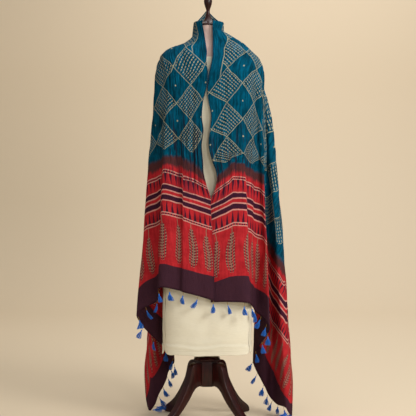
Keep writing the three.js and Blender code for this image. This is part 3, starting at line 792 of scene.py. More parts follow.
# ---------- finishes ----------
class Finish(Nodes):
    """A material with a Principled shader at its end."""

    def __init__(self, name, specular=0.5, **constants):
        self.material = bpy.data.materials.new(name)
        self.material.use_nodes = True
        self.tree = self.material.node_tree
        self.tree.nodes.clear()
        output = self.tree.nodes.new("ShaderNodeOutputMaterial")
        self.shader = self.tree.nodes.new("ShaderNodeBsdfPrincipled")
        self.tree.links.new(self.shader.outputs[0], output.inputs["Surface"])
        self.shader.inputs["Specular IOR Level"].default_value = specular
        for socket, value in constants.items():
            self.shader.inputs[socket.replace("_", " ")].default_value = value

    def mix(self, factor, first, second):
        """The first colour where the factor is 0, the second where it is 1."""
        return self.node("ShaderNodeMix", {"data_type": "RGBA"}, {0: factor, 6: first, 7: second}, 2)

    def place(self, source):
        """Object or UV coordinates of the surface, as three numbers and as one vector."""
        vector = self.node("ShaderNodeTexCoord", None, None, {"Object": 3, "UV": 2}[source])
        return vector, [self.node("ShaderNodeSeparateXYZ", None, {0: vector}, k) for k in range(3)]

    def set(self, **sockets):
        for name, value in sockets.items():
            self.tree.links.new(value.socket, self.shader.inputs[name.replace("_", " ")])

    def relief(self, height, strength, distance):
        """Surface relief from a height that varies between about 0 and 1."""
        inputs = {"Strength": strength, "Distance": distance, "Height": height}
        self.set(Normal=self.node("ShaderNodeBump", None, inputs))


class AjrakhPrint(Finish):
    """The shawl's dyed and block-printed cloth.

    Distances are in millimetres: u across the cloth from the neck edge, v along it from its left end, end
    from the nearer end, and e the same with the waver of a hand-set block.
    """

    HEM, RED, BROWN, FIELD = 94, 488, 526, 566  # where each ground ends, and where the field's print begins
    LINES = [
        (285, 289), (295, 299), (340, 344.5), (362, 366.5), (378, 382.5), (400, 404.5), (452, 456),
        (463, 467),
    ]
    BARS = [(345, 362), (383, 400)]
    DASHED = [(289, 295), (456, 463)]
    SPIKES_UP, SPIKES_DOWN = (298, 341), (404, 453)
    DASH_PITCH, SPIKE_PITCH = 9.5, 19
    SPRAY_START, SPRAY_PITCH, SPRAY_LEVEL, SPRAY_DEPTH = 22, 60, 285, 176
    LEAF_LENGTH, LEAF_WIDTH = 11.5, 8.5
    DIAMOND_START, DIAMOND_WIDTH, DIAMOND_LEVEL, DIAMOND_HEIGHT = 66, 118, 629, 138
    DIAMOND_INSET = 89.7
    COLLAR_LEVEL, COLLAR_PLAIN, COLLAR_EXTRA, COLLAR_WIDER = 950, 43, 23, (1115, 1405)

    def __init__(self, settings):
        super().__init__("ajrakh_print", 0.04, Roughness=0.85)
        self.settings = settings
        _, (across, down, _) = self.place("UV")
        u, self.v = across * 1000, down * 1000
        flat = self.vector(u, self.v)
        waver = self.noise(flat, 0.028) - 0.5
        self.u = u + (self.noise(self.vector(self.v, u), 0.028) - 0.5) * 6
        self.end = SHAWL_LENGTH / 2 - abs(self.v - SHAWL_LENGTH / 2)
        self.e = self.end + waver * 6
        self.press = self.noise(self.vector(self.u, self.v), 0.35, 3.0, 0.7).above(0.36, 0.22)
        self.crinkle = self.noise(self.vector(self.u * 0.17 + self.v * 0.004, self.v * 0.016), 1.0, 3.0, 0.62)
        pleat = self.noise(self.vector(self.u * 0.11 + self.v * 0.003, self.v * 0.006), 1.0, 2.0, 0.6)

        self.ground = self.dyed(self.noise(flat, 0.018, 3.0, 0.6), waver, pleat)
        self.print_borders()
        # Painted shade: dark ink is laid along the furrows of the gathers beside the opening, over the red
        # end's lines, the brown band and the field.
        painted_gather_shade = pleat.below(0.44, 0.07) * self.u.below(200, 110) * self.end.between(400, 720, 110)
        self.lay(painted_gather_shade * 0.62, "ink")
        self.print_sprays()
        self.print_field()
        sides = self.u.below(3.2, 1.4).most(self.u.above(SHAWL_WIDTH - 3.2, 1.4))
        self.lay(sides.most(self.end.below(3.0, 1.4)) * 0.35, "ink")
        self.set(Base_Color=self.ground)
        self.raise_crinkles()

    def colour(self, name):
        return tuple(getattr(self.settings, name))

    def stretched(self, across, down, detail, roughness=0.5):
        """Noise with its own scale across the cloth and along it."""
        return self.noise(self.vector(self.u * across, self.v * down), 1.0, detail, roughness)

    def lay(self, factor, name):
        """Lays one of the colours over the cloth where the factor is above 0."""
        self.ground = self.mix(factor, self.ground, self.colour(name))

    def dyed(self, blotch, waver, pleat):
        """Aubergine hem, red end, dipped brown band, and teal field with painted shade in the furrows of its
        crinkles and gathers.
        """
        colour = self.colour
        streak = self.stretched(0.16, 0.012, 3.0, 0.6)
        cloud = (blotch * 0.6 + streak * 1.1 - 0.33).above(0.5, 0.5)
        teal = self.mix(cloud, colour("teal"), colour("teal_shade"))
        gathers = self.u.below(190, 110) * self.end.between(400, 690, 130) * 0.5
        # Painted shade: the teal darkens to the crease colour in the furrows of the crinkles that the bump
        # raises, and in the gathers beside the opening.
        teal = self.mix(self.crinkle.below(0.46, 0.13) * 0.42, teal, colour("crease"))
        teal = self.mix(pleat.below(0.47, 0.12) * gathers, teal, colour("crease"))
        red = self.mix((blotch * 0.9 + streak * 0.5).above(0.68, 0.6), colour("red"), colour("red_shade"))
        dip = self.end + waver * 14 + (streak - 0.5) * 34
        ground = self.mix(dip.above(self.RED, 14), red, colour("brown"))
        ground = self.mix(dip.above(self.BROWN, 16), ground, teal)
        rib = (self.v * 0.9).sine() * 0.06 + 0.06
        hem = self.mix(rib + (blotch - 0.5) * 0.5, colour("hem"), colour("ink"))
        return self.mix(self.e.below(self.HEM, 2.5), ground, hem)

    def stripes(self, limits):
        """1 in each of a row of stripes along the end."""
        made = [self.e.between(low, high, 1.6) for low, high in limits]
        for stripe in made[1:]:
            made[0] = made[0].most(stripe)
        return made[0]

    def print_borders(self):
        """Lines, dashed pairs, dark bars, and spikes to either side."""
        dash = self.u.off_middle(self.DASH_PITCH) * self.DASH_PITCH
        dash = dash.below(2.9, 1.2) * self.stripes(self.DASHED)
        tooth = self.u.off_middle(self.SPIKE_PITCH) * self.SPIKE_PITCH
        up_foot, down_foot = self.SPIKES_UP[1] + 1, self.SPIKES_DOWN[0] - 1
        up = self.stripes([self.SPIKES_UP]) * tooth.below((up_foot - self.e) * 0.115, 1.4)
        down = self.stripes([self.SPIKES_DOWN]) * tooth.below((self.e - down_foot) * 0.1, 1.4)
        dark = self.stripes(self.BARS).most(dash).most(up).most(down)
        self.lay(dark * (0.72 + self.press * 0.24), "ink")
        self.lay(self.stripes(self.LINES) * (0.36 + self.press * 0.4), "line")

    def print_sprays(self):
        """A bending stem with pairs of small dotted leaves, hanging below the lower pair of lines."""
        u = self.u - self.SPRAY_START
        cell = (u / self.SPRAY_PITCH).rounded()
        lean = (cell * 2.7 + 1).sine()
        y = self.SPRAY_LEVEL - self.e
        side = abs(u - cell * self.SPRAY_PITCH - (y * 0.035 + cell).sine() * 3.5 - lean * 4)
        top = 26 + lean * 9
        body = (y - top) / (self.SPRAY_DEPTH - top)
        width = (body * (1 - body) * 4).most(0.0) ** 0.36 * (14 + body * 4)
        inside = side.below(width, 2.2) * body.between(0, 1, 0.02)
        stem = side.below(1.1, 1.2) * y.between(1, 160, 2)
        slope = (y + side * 0.55) / self.LEAF_LENGTH
        column = side.off_middle(self.LEAF_WIDTH)
        leaf = slope.off_middle().below(0.25, 0.1) * column.below(0.32, 0.1) * inside
        seed = (slope + 0.5).off_middle().below(0.23, 0.1) * column.below(0.3, 0.1) * inside
        self.lay(stem.most(leaf) * (0.5 + self.press * 0.4), "leaf")
        self.lay(seed * 0.85, "ink")

    def print_field(self):
        """A lattice of diamonds up to the collar, every second one filled with rows of small dashes."""
        across = (self.u - self.DIAMOND_START) / self.DIAMOND_WIDTH
        down = (self.e - self.DIAMOND_LEVEL) / self.DIAMOND_HEIGHT
        p, q = across + down, across - down
        i, j = p.rounded(), q.rounded()
        p, q = p - i, q - j
        filled = 1 - ((i + j) * 0.5).fraction().above(0.25, 0.01)
        inset = (0.5 - abs(p)).least(0.5 - abs(q)) * self.DIAMOND_INSET
        collar = self.e.above(self.COLLAR_LEVEL, 40)
        rim = self.COLLAR_PLAIN + self.v.between(*self.COLLAR_WIDER, 60) * self.COLLAR_EXTRA
        field = self.e.above(self.FIELD, 3) * (1 - collar * self.u.below(rim, 2))
        row = (p * 9 + 0.5).off_middle() * 10
        step = (q * 8 + i * 0.3).off_middle() * 11.2
        dashes = row.below(1.6, 1.3) * step.below(3.5, 1.5) * inset.above(4, 1.0) * filled
        middle = (p * p + q * q).below(0.0011, 0.0007) * (1 - filled)
        motif = inset.below(1.0, 1.2).most(dashes * 0.92).most(middle) * field
        motif = motif.most(abs(self.u - rim).below(1.1, 1.2) * collar)
        self.lay(motif * (0.36 + self.press * 0.5), "dot")

    def raise_crinkles(self):
        """Crinkles and creases, a faint weave, and a seam sunk along the cloth's edges."""
        depth = self.crinkle * (0.3 + self.end.above(500, 160) * 0.9) + self.stretched(0.06, 0.04, 2.0) * 0.4
        weave = (self.u * 5.2).sine() * (self.v * 5.2).sine()
        seam = abs(self.u.least(SHAWL_WIDTH - self.u).least(self.end) - 5).below(0.5, 0.8)
        self.relief(depth + weave * 0.02 - seam * 0.2, 0.9, 0.0075)


def darker(colour, share):
    """A colour brought down to a share of itself, or its channels each to a share of their own."""
    return (*np.multiply(colour[:3], share), 1.0)


def thread(name, main, shade, sheen):
    """The yarn of the tassels, dyed unevenly."""
    yarn = Finish(name, Roughness=0.62, Sheen_Weight=sheen)
    vector, (x, y, z) = yarn.place("Object")
    lay = yarn.noise(vector, 420.0, 3.0, 0.6)
    spun = yarn.noise(yarn.vector(x * 900, y * 900, z * 160), 1.0)
    yarn.set(Base_Color=yarn.mix(lay.above(0.5, 0.35), main, shade))
    yarn.relief(spun, 0.6, 0.0006)
    return yarn.material


def cover_cloth(settings):
    """Plain cream cotton with a sewn line along its hem."""
    cotton = Finish("cream_cotton", 0.2, Roughness=0.92, Sheen_Weight=0.1)
    vector, (x, y, z) = cotton.place("Object")
    main = tuple(settings.cotton)
    worn = darker(main, 0.86)
    patch = cotton.noise(vector, 7.0, 4.0, 0.55)
    slub = cotton.noise(cotton.vector(x * 60, y * 60, z * 520), 1.0)
    stitched = z.below(0.2805, 0.0012) * z.above(0.2786, 0.0012)
    base = cotton.mix((patch * 0.7 + slub * 0.4).above(0.6, 0.5), main, worn)
    cotton.set(Base_Color=cotton.mix(stitched * 0.35, base, worn))
    weave = ((x + y) * 3400).sine() * (z * 3400).sine()
    crease = cotton.noise(cotton.vector(x * 9, y * 9, z * 16), 1.0, 3.0)
    cotton.relief(crease + slub * 0.12 + weave * 0.02 - stitched * 0.3, 0.45, 0.006)
    return cotton.material


def neck_cloth(settings):
    """Ribbed jersey of the form and its neck."""
    jersey = Finish("neck_jersey", Roughness=0.8, Sheen_Weight=0.2)
    vector, (x, y, z) = jersey.place("Object")
    main = tuple(settings.jersey)
    patch = jersey.noise(vector, 26.0, 3.0, 0.6)
    jersey.set(Base_Color=jersey.mix(patch.above(0.55, 0.4), main, darker(main, 0.8)))
    turn = (y - float(AXIS[1])).direction(x - float(AXIS[0]))
    rib = (turn * 150).sine() * (z * 2600).sine()
    jersey.relief(rib * 0.5 + patch * 0.6, 0.4, 0.0008)
    return jersey.material


def polished_wood():
    """Dark polished wood, made once and shared by every wooden piece."""
    found = bpy.data.materials.get("dark_polished_wood")
    if found:
        return found
    settings = bpy.context.scene.dress_form
    wood = Finish("dark_polished_wood", 0.26, Coat_Weight=0.14, Coat_Roughness=0.08)
    vector, (x, y, z) = wood.place("Object")
    grain = wood.noise(wood.vector(x * 130, y * 130, z * 16), 1.0, 5.0, 0.65)
    cloud = wood.noise(vector, 9.0)
    share = (grain * 0.8 + cloud * 0.5).above(0.72, 0.5)
    wood.set(
        Base_Color=wood.mix(share, tuple(settings.wood), tuple(settings.wood_warm)),
        Roughness=0.24 + grain * 0.16 + (cloud - 0.5) * 0.12,
    )
    wood.relief(grain, 0.12, 0.0008)
    return wood.material


def finished(made, material, slot, *nodes):
    """Gives a piece its material, parents it to the root and hides the solids that it stands for. The slot
    argument is not used.
    """
    if made.data.materials:
        made.data.materials[0] = material
    else:
        made.data.materials.append(material)
    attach(made, "root")
    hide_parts(*nodes)


# ---------- tassels by Geometry Nodes ----------
class TasselNodes(Nodes):
    """A Geometry Nodes tree with named inputs."""

    def __init__(self, name, inputs):
        self.tree = bpy.data.node_groups.new(name, "GeometryNodeTree")
        face = self.tree.interface
        face.new_socket("Geometry", in_out="INPUT", socket_type="NodeSocketGeometry")
        self.sockets = {}
        for label, kind, value in inputs:
            self.sockets[label] = face.new_socket(label, in_out="INPUT", socket_type=kind)
            self.sockets[label].default_value = value
        face.new_socket("Geometry", in_out="OUTPUT", socket_type="NodeSocketGeometry")
        self.start = self.tree.nodes.new("NodeGroupInput")
        self.end = self.tree.nodes.new("NodeGroupOutput")

    def given(self, label):
        return Number(self, self.start.outputs[label])

    def place(self):
        return self.node("GeometryNodeInputPosition")

    def index(self):
        return self.node("GeometryNodeInputIndex")

    def along(self):
        return self.node("GeometryNodeSplineParameter")

    def random(self, low, high, index, seed):
        """A random number, or three where the limits are vectors, for each index."""
        vectors = isinstance(low, tuple)
        settings = {"data_type": "FLOAT_VECTOR" if vectors else "FLOAT"}
        first = 0 if vectors else 2
        inputs = {first: low, first + 1: high, "ID": index, "Seed": seed}
        return self.node("FunctionNodeRandomValue", settings, inputs, first // 2)

    def turned(self, axis, way, turn):
        """A rotation that lays an axis along a way and then turns about itself."""
        aligned = self.node("FunctionNodeAlignRotationToVector", {"axis": axis}, {"Vector": way})
        return self.node("FunctionNodeRotateRotation", {"rotation_space": "LOCAL"}, {0: aligned, 1: turn})

    def line(self, start, end, count):
        """A straight line of so many points."""
        line = self.node("GeometryNodeCurvePrimitiveLine", None, {"Start": start, "End": end})
        return self.node("GeometryNodeResampleCurve", None, {"Curve": line, "Count": count})

    def tube(self, curve, radius, sides, scale=1.0):
        """A closed tube along a curve."""
        ring = self.node("GeometryNodeCurvePrimitiveCircle", None, {"Resolution": sides, "Radius": radius})
        inputs = {"Curve": curve, "Profile Curve": ring, "Scale": scale, "Fill Caps": True}
        return self.node("GeometryNodeCurveToMesh", None, inputs)

    def moved(self, geometry, offset):
        return self.node("GeometryNodeSetPosition", None, {"Geometry": geometry, "Offset": offset})

    def smooth(self, geometry):
        return self.node("GeometryNodeSetShadeSmooth", None, {0: geometry, "Shade Smooth": True})

    def joined(self, parts):
        return self.node("GeometryNodeJoinGeometry", None, {0: parts})

    def realized(self, geometry):
        return self.node("GeometryNodeRealizeInstances", None, {0: geometry})

    def stored(self, geometry, name, value, data_type, domain="POINT"):
        """Keeps a value on the geometry under a name."""
        settings = {"data_type": data_type, "domain": domain}
        inputs = {"Geometry": geometry, "Name": name, "Value": value}
        return self.node("GeometryNodeStoreNamedAttribute", settings, inputs)

    def named(self, name, data_type):
        """Reads a value that is kept under a name."""
        return self.node("GeometryNodeInputNamedAttribute", {"data_type": data_type}, {"Name": name})

    def set_on(self, points, instance, rotation, scale):
        """Sets a copy of a piece on every point."""
        inputs = {"Points": points, "Instance": instance, "Rotation": rotation, "Scale": scale}
        return self.node("GeometryNodeInstanceOnPoints", None, inputs)

    def vector_math(self, operation, first, inputs):
        return self.node("ShaderNodeVectorMath", {"operation": operation}, {0: first, **inputs})

    def finish(self, geometry):
        self.tree.links.new(geometry.socket, self.end.inputs[0])

    def run(self, made, values):
        """Runs the tree on an object and keeps the result as the object's plain mesh."""
        modifier = made.modifiers.new(self.tree.name, "NODES")
        modifier.node_group = self.tree
        for label, value in values.items():
            modifier[self.sockets[label].identifier] = value
        return applied(made)


# Rings of loose threads: radius, share of the spread, of the threads and of the length.
SKIRT_RINGS = ((0.0021, 1.0, 1.0, 1.0), (0.0014, 0.62, 0.7, 0.97), (0.0006, 0.25, 0.35, 0.94))
HEAD_RADIUS = 0.0029
HEAD_SHAPE = ((0.12, 0.75), (0.3, 1.0), (0.5, 0.92), (0.62, 0.66), (0.74, 0.92))
YARN_RADIUS = 0.00055
TWIST_RADIUS = 0.0005


def twisted_yarns(tree, knot):
    """The thread of a tassel: two yarns that turn about each other."""
    yarns = []
    for start in (0.0, math.pi):
        angle = tree.along().times_plus(13.0, start)
        offset = tree.vector(angle.cosine() * TWIST_RADIUS, angle.sine() * TWIST_RADIUS)
        line = tree.line((0, 0, 0.0006), tree.vector(0.0, 0.0, knot), 14)
        yarn = tree.smooth(tree.tube(tree.moved(line, offset), YARN_RADIUS, 5))
        yarns.append(tree.stored(yarn, "golden", True, "BOOLEAN", "FACE"))
    return yarns


def bound_head(tree, knot, foot):
    """The head of a tassel: a bound bulb that swells and narrows."""
    line = tree.line(tree.vector(0.0, 0.0, knot + 0.0006), tree.vector(0.0, 0.0, foot - 0.002), 12)
    profile = tree.node("ShaderNodeFloatCurve", None, {"Value": tree.along()})
    mapping = profile.socket.node.mapping
    points = mapping.curves[0].points
    for place, value in HEAD_SHAPE:
        points.new(place, value)
    points[0].location = (0.0, 0.25)
    points[-1].location = (1.0, 1.0)
    mapping.update()
    return tree.smooth(tree.tube(line, 1.0, 14, profile * HEAD_RADIUS))


def loose_skirt(tree, foot):
    """The skirt of a tassel: rings of loose threads that flare and curl a little."""
    spread, skirt, seed = (tree.given(label) for label in ("Spread", "Skirt", "Seed"))
    rings = []
    for ring, (inner, outer, share, shorter) in enumerate(SKIRT_RINGS):
        inputs = {"Vertices": tree.given("Threads") * share, "Radius": inner}
        circle = tree.node("GeometryNodeMeshCircle", {"fill_type": "NONE"}, inputs)
        inputs = {
            "Resolution": 5,
            "Start": (0, 0, 0),
            "Start Handle": (0.0034 * outer, 0, -0.006),
            "End Handle": tree.vector(spread * (0.9 * outer), 0.0, skirt * -0.62),
            "End": tree.vector(spread * (0.55 * outer), 0.0, skirt * -shorter),
        }
        strand = tree.tube(tree.node("GeometryNodeCurvePrimitiveBezierSegment", None, inputs), YARN_RADIUS, 3)
        index = tree.index()
        jitter = tree.random((-0.1, -0.1, -0.22), (0.1, 0.1, 0.22), index, seed + float(ring))
        length = tree.random(0.9, 1.0, index, seed + (7.0 + ring))
        turn = tree.turned("X", tree.place(), jitter)
        rings.append(tree.set_on(circle, strand, turn, tree.vector(1.0, 1.0, length)))
    skirt = tree.realized(tree.joined(rings))
    return tree.smooth(tree.moved(skirt, tree.vector(0.0, 0.0, foot)))


def tassel_tree(blue, gold):
    """Hangs a tassel from each point, along the point's own direction."""
    sizes = [("Cord", 0.013), ("Head", 0.007), ("Skirt", 0.027), ("Spread", 0.0098)]
    inputs = [(label, "NodeSocketFloat", value) for label, value in sizes]
    inputs += [("Threads", "NodeSocketInt", 26), ("Seed", "NodeSocketInt", 4)]
    tree = TasselNodes("Tassel row", inputs)
    knot = tree.given("Cord") * -1.0
    foot = knot - tree.given("Head")
    tassel = tree.joined([*twisted_yarns(tree, knot), bound_head(tree, knot, foot), loose_skirt(tree, foot)])
    depth = tree.node("ShaderNodeSeparateXYZ", None, {0: tree.place()}, 2)
    tassel = tree.stored(tassel, "below", depth * -20.0, "FLOAT")

    index = tree.index()
    spin = tree.random((-0.16, -0.16, -3.1), (0.16, 0.16, 3.1), index, tree.given("Seed"))
    turned = tree.turned("Z", tree.named("hang", "FLOAT_VECTOR"), spin)
    slim = tree.random(0.82, 1.0, index, 12)
    row = tree.realized(tree.set_on(tree.given("Geometry"), tassel, turned, tree.vector(slim, slim, 1.0)))

    # Each skirt is blown a little to one side, more towards its foot.
    breeze = tree.vector_math("SUBTRACT", tree.noise(tree.place(), 16.0, 0.0, output=1), {1: (0.5, 0.5, 0.5)})
    breeze = tree.vector_math("MULTIPLY", breeze, {1: (0.05, 0.03, 0.0)})
    below = tree.named("below", "FLOAT").most(0.0) ** 1.7
    row = tree.realized(tree.moved(row, tree.vector_math("SCALE", breeze, {"Scale": below})))
    row = tree.node("GeometryNodeSetMaterial", None, {"Geometry": row, "Material": blue})
    inputs = {"Geometry": row, "Selection": tree.named("golden", "BOOLEAN"), "Material": gold}
    tree.finish(tree.node("GeometryNodeSetMaterial", None, inputs))
    return tree


def tassel_hangers():
    """Where each tassel is tied and the way its root looks away from it, read from the solids."""
    ends = (("left", 19), ("right", 18))
    names = [f"tassel_{side}_{k + 1:02d}" for side, count in ends for k in range(count)]
    places, ways = [], []
    for name in names:
        corners = np.array([v.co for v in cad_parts[name].data.vertices])
        spread = corners - corners.mean(0)
        axis = np.linalg.eigh(spread.T @ spread)[1][:, -1]
        reach = spread @ axis
        width = lambda part: np.linalg.norm(spread[part] - np.outer(reach[part], axis), axis=1).max()
        tied = reach > reach.max() - 0.002
        loose = reach < reach.min() + 0.002
        if width(tied) > width(loose):
            axis, tied = -axis, loose
        places.append(corners[tied].mean(0))
        ways.append(axis)
    return np.array(places), np.array(ways), names


# ---------- operators ----------
class SHAWL_OT_cloth(bpy.types.Operator):
    """Hangs the printed shawl over the form"""

    bl_idname = "shawl.cloth"
    bl_label = "Shawl cloth"

    def execute(self, context):
        settings = context.scene.shawl
        points, uv = shawl_surface(settings)
        made = link("shawl_cloth", grid_mesh("shawl_cloth", points, uv))
        made = thickened(made, settings.thickness)
        finished(made, AjrakhPrint(settings).material, "ajrakh_cloth", "shawl")
        return {"FINISHED"}


class SHAWL_OT_tassels(bpy.types.Operator):
    """Ties the tassels along both ends"""

    bl_idname = "shawl.tassels"
    bl_label = "Tassels"

    def execute(self, context):
        settings = context.scene.shawl_tassels
        places, ways, names = tassel_hangers()
        mesh = bpy.data.meshes.new("tassel_points")
        mesh.from_pydata(places.tolist(), [], [])
        mesh.attributes.new("hang", "FLOAT_VECTOR", "POINT").data.foreach_set("vector", ways.ravel())
        made = link("tassels", mesh)
        blue = thread("blue_thread", tuple(settings.blue), tuple(settings.blue_shade), 0.08)
        gold = thread("gold_thread", tuple(settings.gold), darker(settings.gold, 0.6), 0.1)
        labels = ("Cord", "Head", "Skirt", "Spread", "Threads")
        values = {label: getattr(settings, label.lower()) for label in labels}
        made = tassel_tree(blue, gold).run(made, values)
        if len(made.data.polygons) < 1000:
            raise RuntimeError("the tassels came out empty")
        for name in ("below", "golden"):
            made.data.attributes.remove(made.data.attributes[name])
        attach(made, "root")
        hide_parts(*names)
        return {"FINISHED"}


class SHAWL_OT_cover(bpy.types.Operator):
    """Dresses the form in its plain cream cover, open at both sides of the hem"""

    bl_idname = "shawl.cover"
    bl_label = "Cover"

    def execute(self, context):
        settings = context.scene.dress_form
        shape = bmesh.new()
        panels = ((-SLIT_TURN, SLIT_TURN, 85), (SLIT_TURN, 360 - SLIT_TURN, 150))
        for seed, (low, high, count) in enumerate(panels):
            add_grid(shape, cover_panel(low, high, count, seed, settings.hem_depth / MM))
        bmesh.ops.remove_doubles(shape, verts=shape.verts, dist=0.00005)
        mesh = bpy.data.meshes.new("cover_cloth")
        shape.to_mesh(mesh)
        shape.free()
        mesh.shade_smooth()
        made = thickened(link("cover_cloth", mesh), 0.0016, -1.0)
        finished(made, cover_cloth(settings), "cover_cloth", "cover")
        return {"FINISHED"}


class SHAWL_OT_form(bpy.types.Operator):
    """Makes the padded form with its jersey neck"""

    bl_idname = "shawl.form"
    bl_label = "Form"

    def execute(self, context):
        around, rows = 96, 120
        turn = np.linspace(0, 360, around, endpoint=False)[:, None]
        turn, height = np.broadcast_arrays(turn, np.linspace(NECK_TOP, TORSO_FOOT, rows)[None])
        x, y = form_point(turn, height)
        inset = 4.4 + 2.5 * ease(height, 1400, 1440) * (1 - ease(height, 1470, 1500))
        scale = 1 - inset / np.hypot(x, y)
        shape = bmesh.new()
        add_grid(shape, np.stack([x * scale, y * scale, height], -1), closed=True)
        shape.verts.ensure_lookup_table()
        for row in (0, rows - 1):
            shape.faces.new([shape.verts[k * rows + row] for k in range(around)])
        made = from_bmesh("form_body", shape, SHARP)
        finished(made, neck_cloth(context.scene.dress_form), "form_cloth", "form")
        return {"FINISHED"}


class SHAWL_OT_turned_wood(bpy.types.Operator):
    """Turns the neck cap, the finial and the pole"""

    bl_idname = "shawl.turned_wood"
    bl_label = "Cap, finial and pole"

    def execute(self, context):
        wood = polished_wood()
        finished(turned_piece("cap_wood", NECK_CAP, NECK_SHIFT), wood, "dark_wood", "neck_cap")
        finished(turned_piece("finial_wood", FINIAL, NECK_SHIFT), wood, "dark_wood", "finial")
        profile = [(height, POLE_RADIUS) for height in (250.3, 400, 550, 699.7)]
        pole = turned_piece("pole_wood", profile, 0, 32)
        finished(pole, wood, "dark_wood", "pole")
        return {"FINISHED"}


def cut_square(half, chamfer, height):
    """A level square ring with its corners cut off."""
    near = half - chamfer
    corners = [(half, -near), (half, near), (near, half), (-near, half)]
    corners += [(-x, -y) for x, y in corners]
    return [(x, y, height) for x, y in corners]


def curved_leg(name, angle):
    """One leg, cut from a board along its curved outline and standing out at an angle."""
    outline = np.array(LEG_OUTLINE, float)
    rows = np.linspace(0, len(outline) - 1, 3 * (len(outline) - 1) + 1)
    reach = np.maximum(smooth_column(outline[:, 0], rows), LEG_ROOT)
    height = np.maximum(smooth_column(outline[:, 1], rows), 0)
    fine = np.stack([reach, height], 1)
    keep = [0] + [k for k in range(1, len(fine)) if np.hypot(*(fine[k] - fine[k - 1])) > 0.8]
    out = np.array([math.cos(angle), math.sin(angle), 0])
    across = np.array([-math.sin(angle), math.cos(angle), 0])
    sides = [
        [out * far + across * side * LEG_THICKNESS + np.array([0, 0, high]) for far, high in fine[keep]]
        for side in (-0.5, 0.5)
    ]
    return ringed_solid(name, sides)


class SHAWL_OT_foot(bpy.types.Operator):
    """Builds the wooden foot: plate, hub and four legs"""

    bl_idname = "shawl.foot"
    bl_label = "Foot"

    def execute(self, context):
        wood = polished_wood()
        plate = [cut_square(49, 22.5, 234), cut_square(52, 24, 238), cut_square(43, 20, 250)]
        hub = [cut_square(34, 17, 133), cut_square(40, 20, 139), cut_square(40, 20, 233.7)]
        for name, rings, node in (("plate_wood", plate, "hub_plate"), ("hub_wood", hub, "hub")):
            finished(bevelled(ringed_solid(name, rings), BLOCK_BEVEL), wood, "dark_wood", node)
        for k, node in enumerate(LEG_NODES):
            made = curved_leg(node + "_wood", math.radians(225 + 90 * k))
            finished(bevelled(made, context.scene.dress_form.bevel), wood, "dark_wood", node)
        return {"FINISHED"}


# Each light's name, place and target from the pole, size, power and colour.
LIGHTS = (
    ("Key", (2.6, -2.3, 2.6), (0, 0, 0.9), (1.5, 1.5), 84, (1.0, 0.98, 0.95)),
    ("Front", (0.9, -3.2, 1.75), (0, 0, 1.05), (0.7, 0.7), 17, (1.0, 0.98, 0.95)),
    ("Fill", (-2.4, -2.6, 1.5), (0, 0, 0.8), (2.2, 2.2), 4, (1.0, 0.98, 0.95)),
    ("Top", (0.4, 0.2, 3.4), (0, 0.3, 0), (2.4, 2.0), 34, (1.0, 0.98, 0.96)),
    ("Wall", (1.0, 2.6, 4.6), (0.6, 5.8, 1.0), (4.0, 1.5), 108, (1.0, 0.98, 0.97)),
)
PAPER_DEPTH, PAPER_BEND, PAPER_HALF_WIDTH, PAPER_HEIGHT, PAPER_FRONT = 5.8, 2.2, 9.0, 6.5, -9.0
FRAME_WIDTH = 416
FOCAL_LENGTH = 923 / FRAME_WIDTH
SENSOR = 36.0


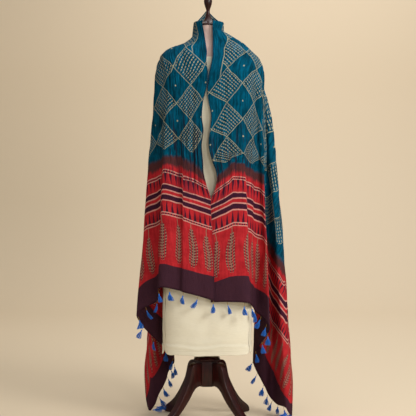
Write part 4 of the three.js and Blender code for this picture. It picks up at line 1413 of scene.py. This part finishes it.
class SHAWL_OT_stage(bpy.types.Operator):
    """Sets the paper backdrop, the lights and the camera"""

    bl_idname = "shawl.stage"
    bl_label = "Stage"

    def light(self, name, place, target, size, power, colour):
        lamp = bpy.data.lights.new(name, "AREA")
        lamp.shape = "RECTANGLE"
        lamp.size, lamp.size_y = size
        lamp.energy = power
        lamp.color = colour
        made = link(name, lamp)
        place, target = Vector(AXIS + place), Vector(AXIS + target)
        made.location = place
        made.rotation_euler = (target - place).to_track_quat("-Z", "Y").to_euler()

    def backdrop(self, colour):
        """Paper that runs under the object and bends up behind it, with painted shade towards its left."""
        profile = [(PAPER_FRONT, 0.0), (-2.0, 0.0), (2.0, 0.0)]
        for bend in np.linspace(0, math.pi / 2, 25):
            out, up = PAPER_BEND * math.sin(bend), PAPER_BEND * math.cos(bend)
            profile.append((PAPER_DEPTH - PAPER_BEND + out, PAPER_BEND - up))
        profile.append((PAPER_DEPTH, PAPER_HEIGHT))
        sides = (-PAPER_HALF_WIDTH, PAPER_HALF_WIDTH)
        points = [AXIS + (x, y, z - 0.0002) for y, z in profile for x in sides]
        faces = [(2 * k, 2 * k + 1, 2 * k + 3, 2 * k + 2) for k in range(len(profile) - 1)]
        mesh = bpy.data.meshes.new("backdrop")
        mesh.from_pydata(points, [], faces)
        mesh.shade_smooth()
        paper = Finish("backdrop_paper", 0.1, Roughness=0.95)
        vector, (x, _, z) = paper.place("Object")
        # Painted shade: the paper darkens towards its left, most at mid height, as if less light fell there.
        left = (x + paper.noise(vector, 0.9) * 0.3).below(-0.4, 2.2)
        left = left * (0.35 + abs(z - 0.9).below(0.7, 1.6) * 0.65)
        paper.set(Base_Color=paper.mix(left * 0.42, colour, darker(colour, (0.72, 0.69, 0.62))))
        mesh.materials.append(paper.material)
        return link("backdrop", mesh)

    def execute(self, context):
        scene = context.scene
        settings = scene.shawl_stage
        self.backdrop(tuple(settings.backdrop))
        for light in LIGHTS:
            self.light(*light)
        world = bpy.data.worlds.new("Studio")
        world.use_nodes = True
        world.node_tree.nodes["Background"].inputs["Color"].default_value = (1.0, 0.97, 0.93, 1.0)
        world.node_tree.nodes["Background"].inputs["Strength"].default_value = 0.3
        scene.world = world

        camera = bpy.data.cameras.new("Camera")
        camera.sensor_width = SENSOR
        camera.lens = FOCAL_LENGTH * SENSOR
        camera.shift_x = 1 / FRAME_WIDTH
        camera.clip_end = 40
        eye = link("Camera", camera)
        eye.location = AXIS + (0, -settings.distance, settings.height)
        eye.rotation_euler = (math.pi / 2, 0, 0)
        scene.camera = eye
        scene.view_settings.view_transform = "Standard"
        return {"FINISHED"}


OPERATORS = (
    SHAWL_OT_stage,
    SHAWL_OT_foot,
    SHAWL_OT_turned_wood,
    SHAWL_OT_form,
    SHAWL_OT_cover,
    SHAWL_OT_cloth,
    SHAWL_OT_tassels,
)


class SHAWL_PT_panel(bpy.types.Panel):
    """Lists the steps that build the shawl and its form"""

    bl_label = "Shawl on a dress form"
    bl_idname = "SHAWL_PT_panel"
    bl_space_type = "VIEW_3D"
    bl_region_type = "UI"
    bl_category = "Shawl"

    def draw(self, context):
        for operator in OPERATORS:
            self.layout.operator(operator.bl_idname)
        for name in SETTINGS:
            group = getattr(context.scene, name)
            for key in group.bl_rna.properties.keys():
                if key not in {"rna_type", "name"}:
                    self.layout.prop(group, key)


SETTINGS = {
    "shawl": ShawlSettings,
    "shawl_tassels": TasselSettings,
    "dress_form": FormSettings,
    "shawl_stage": StageSettings,
}


def register():
    for name, group in SETTINGS.items():
        bpy.utils.register_class(group)
        setattr(bpy.types.Scene, name, bpy.props.PointerProperty(type=group))
    for item in (*OPERATORS, SHAWL_PT_panel):
        bpy.utils.register_class(item)


def unregister():
    for item in (SHAWL_PT_panel, *reversed(OPERATORS)):
        bpy.utils.unregister_class(item)
    for name, group in reversed(list(SETTINGS.items())):
        delattr(bpy.types.Scene, name)
        bpy.utils.unregister_class(group)


def main():
    register()
    bpy.ops.shawl.stage()
    bpy.ops.shawl.foot()
    bpy.ops.shawl.turned_wood()
    bpy.ops.shawl.form()
    bpy.ops.shawl.cover()
    bpy.ops.shawl.cloth()
    bpy.ops.shawl.tassels()
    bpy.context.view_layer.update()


if __name__ == "__main__":
    main()
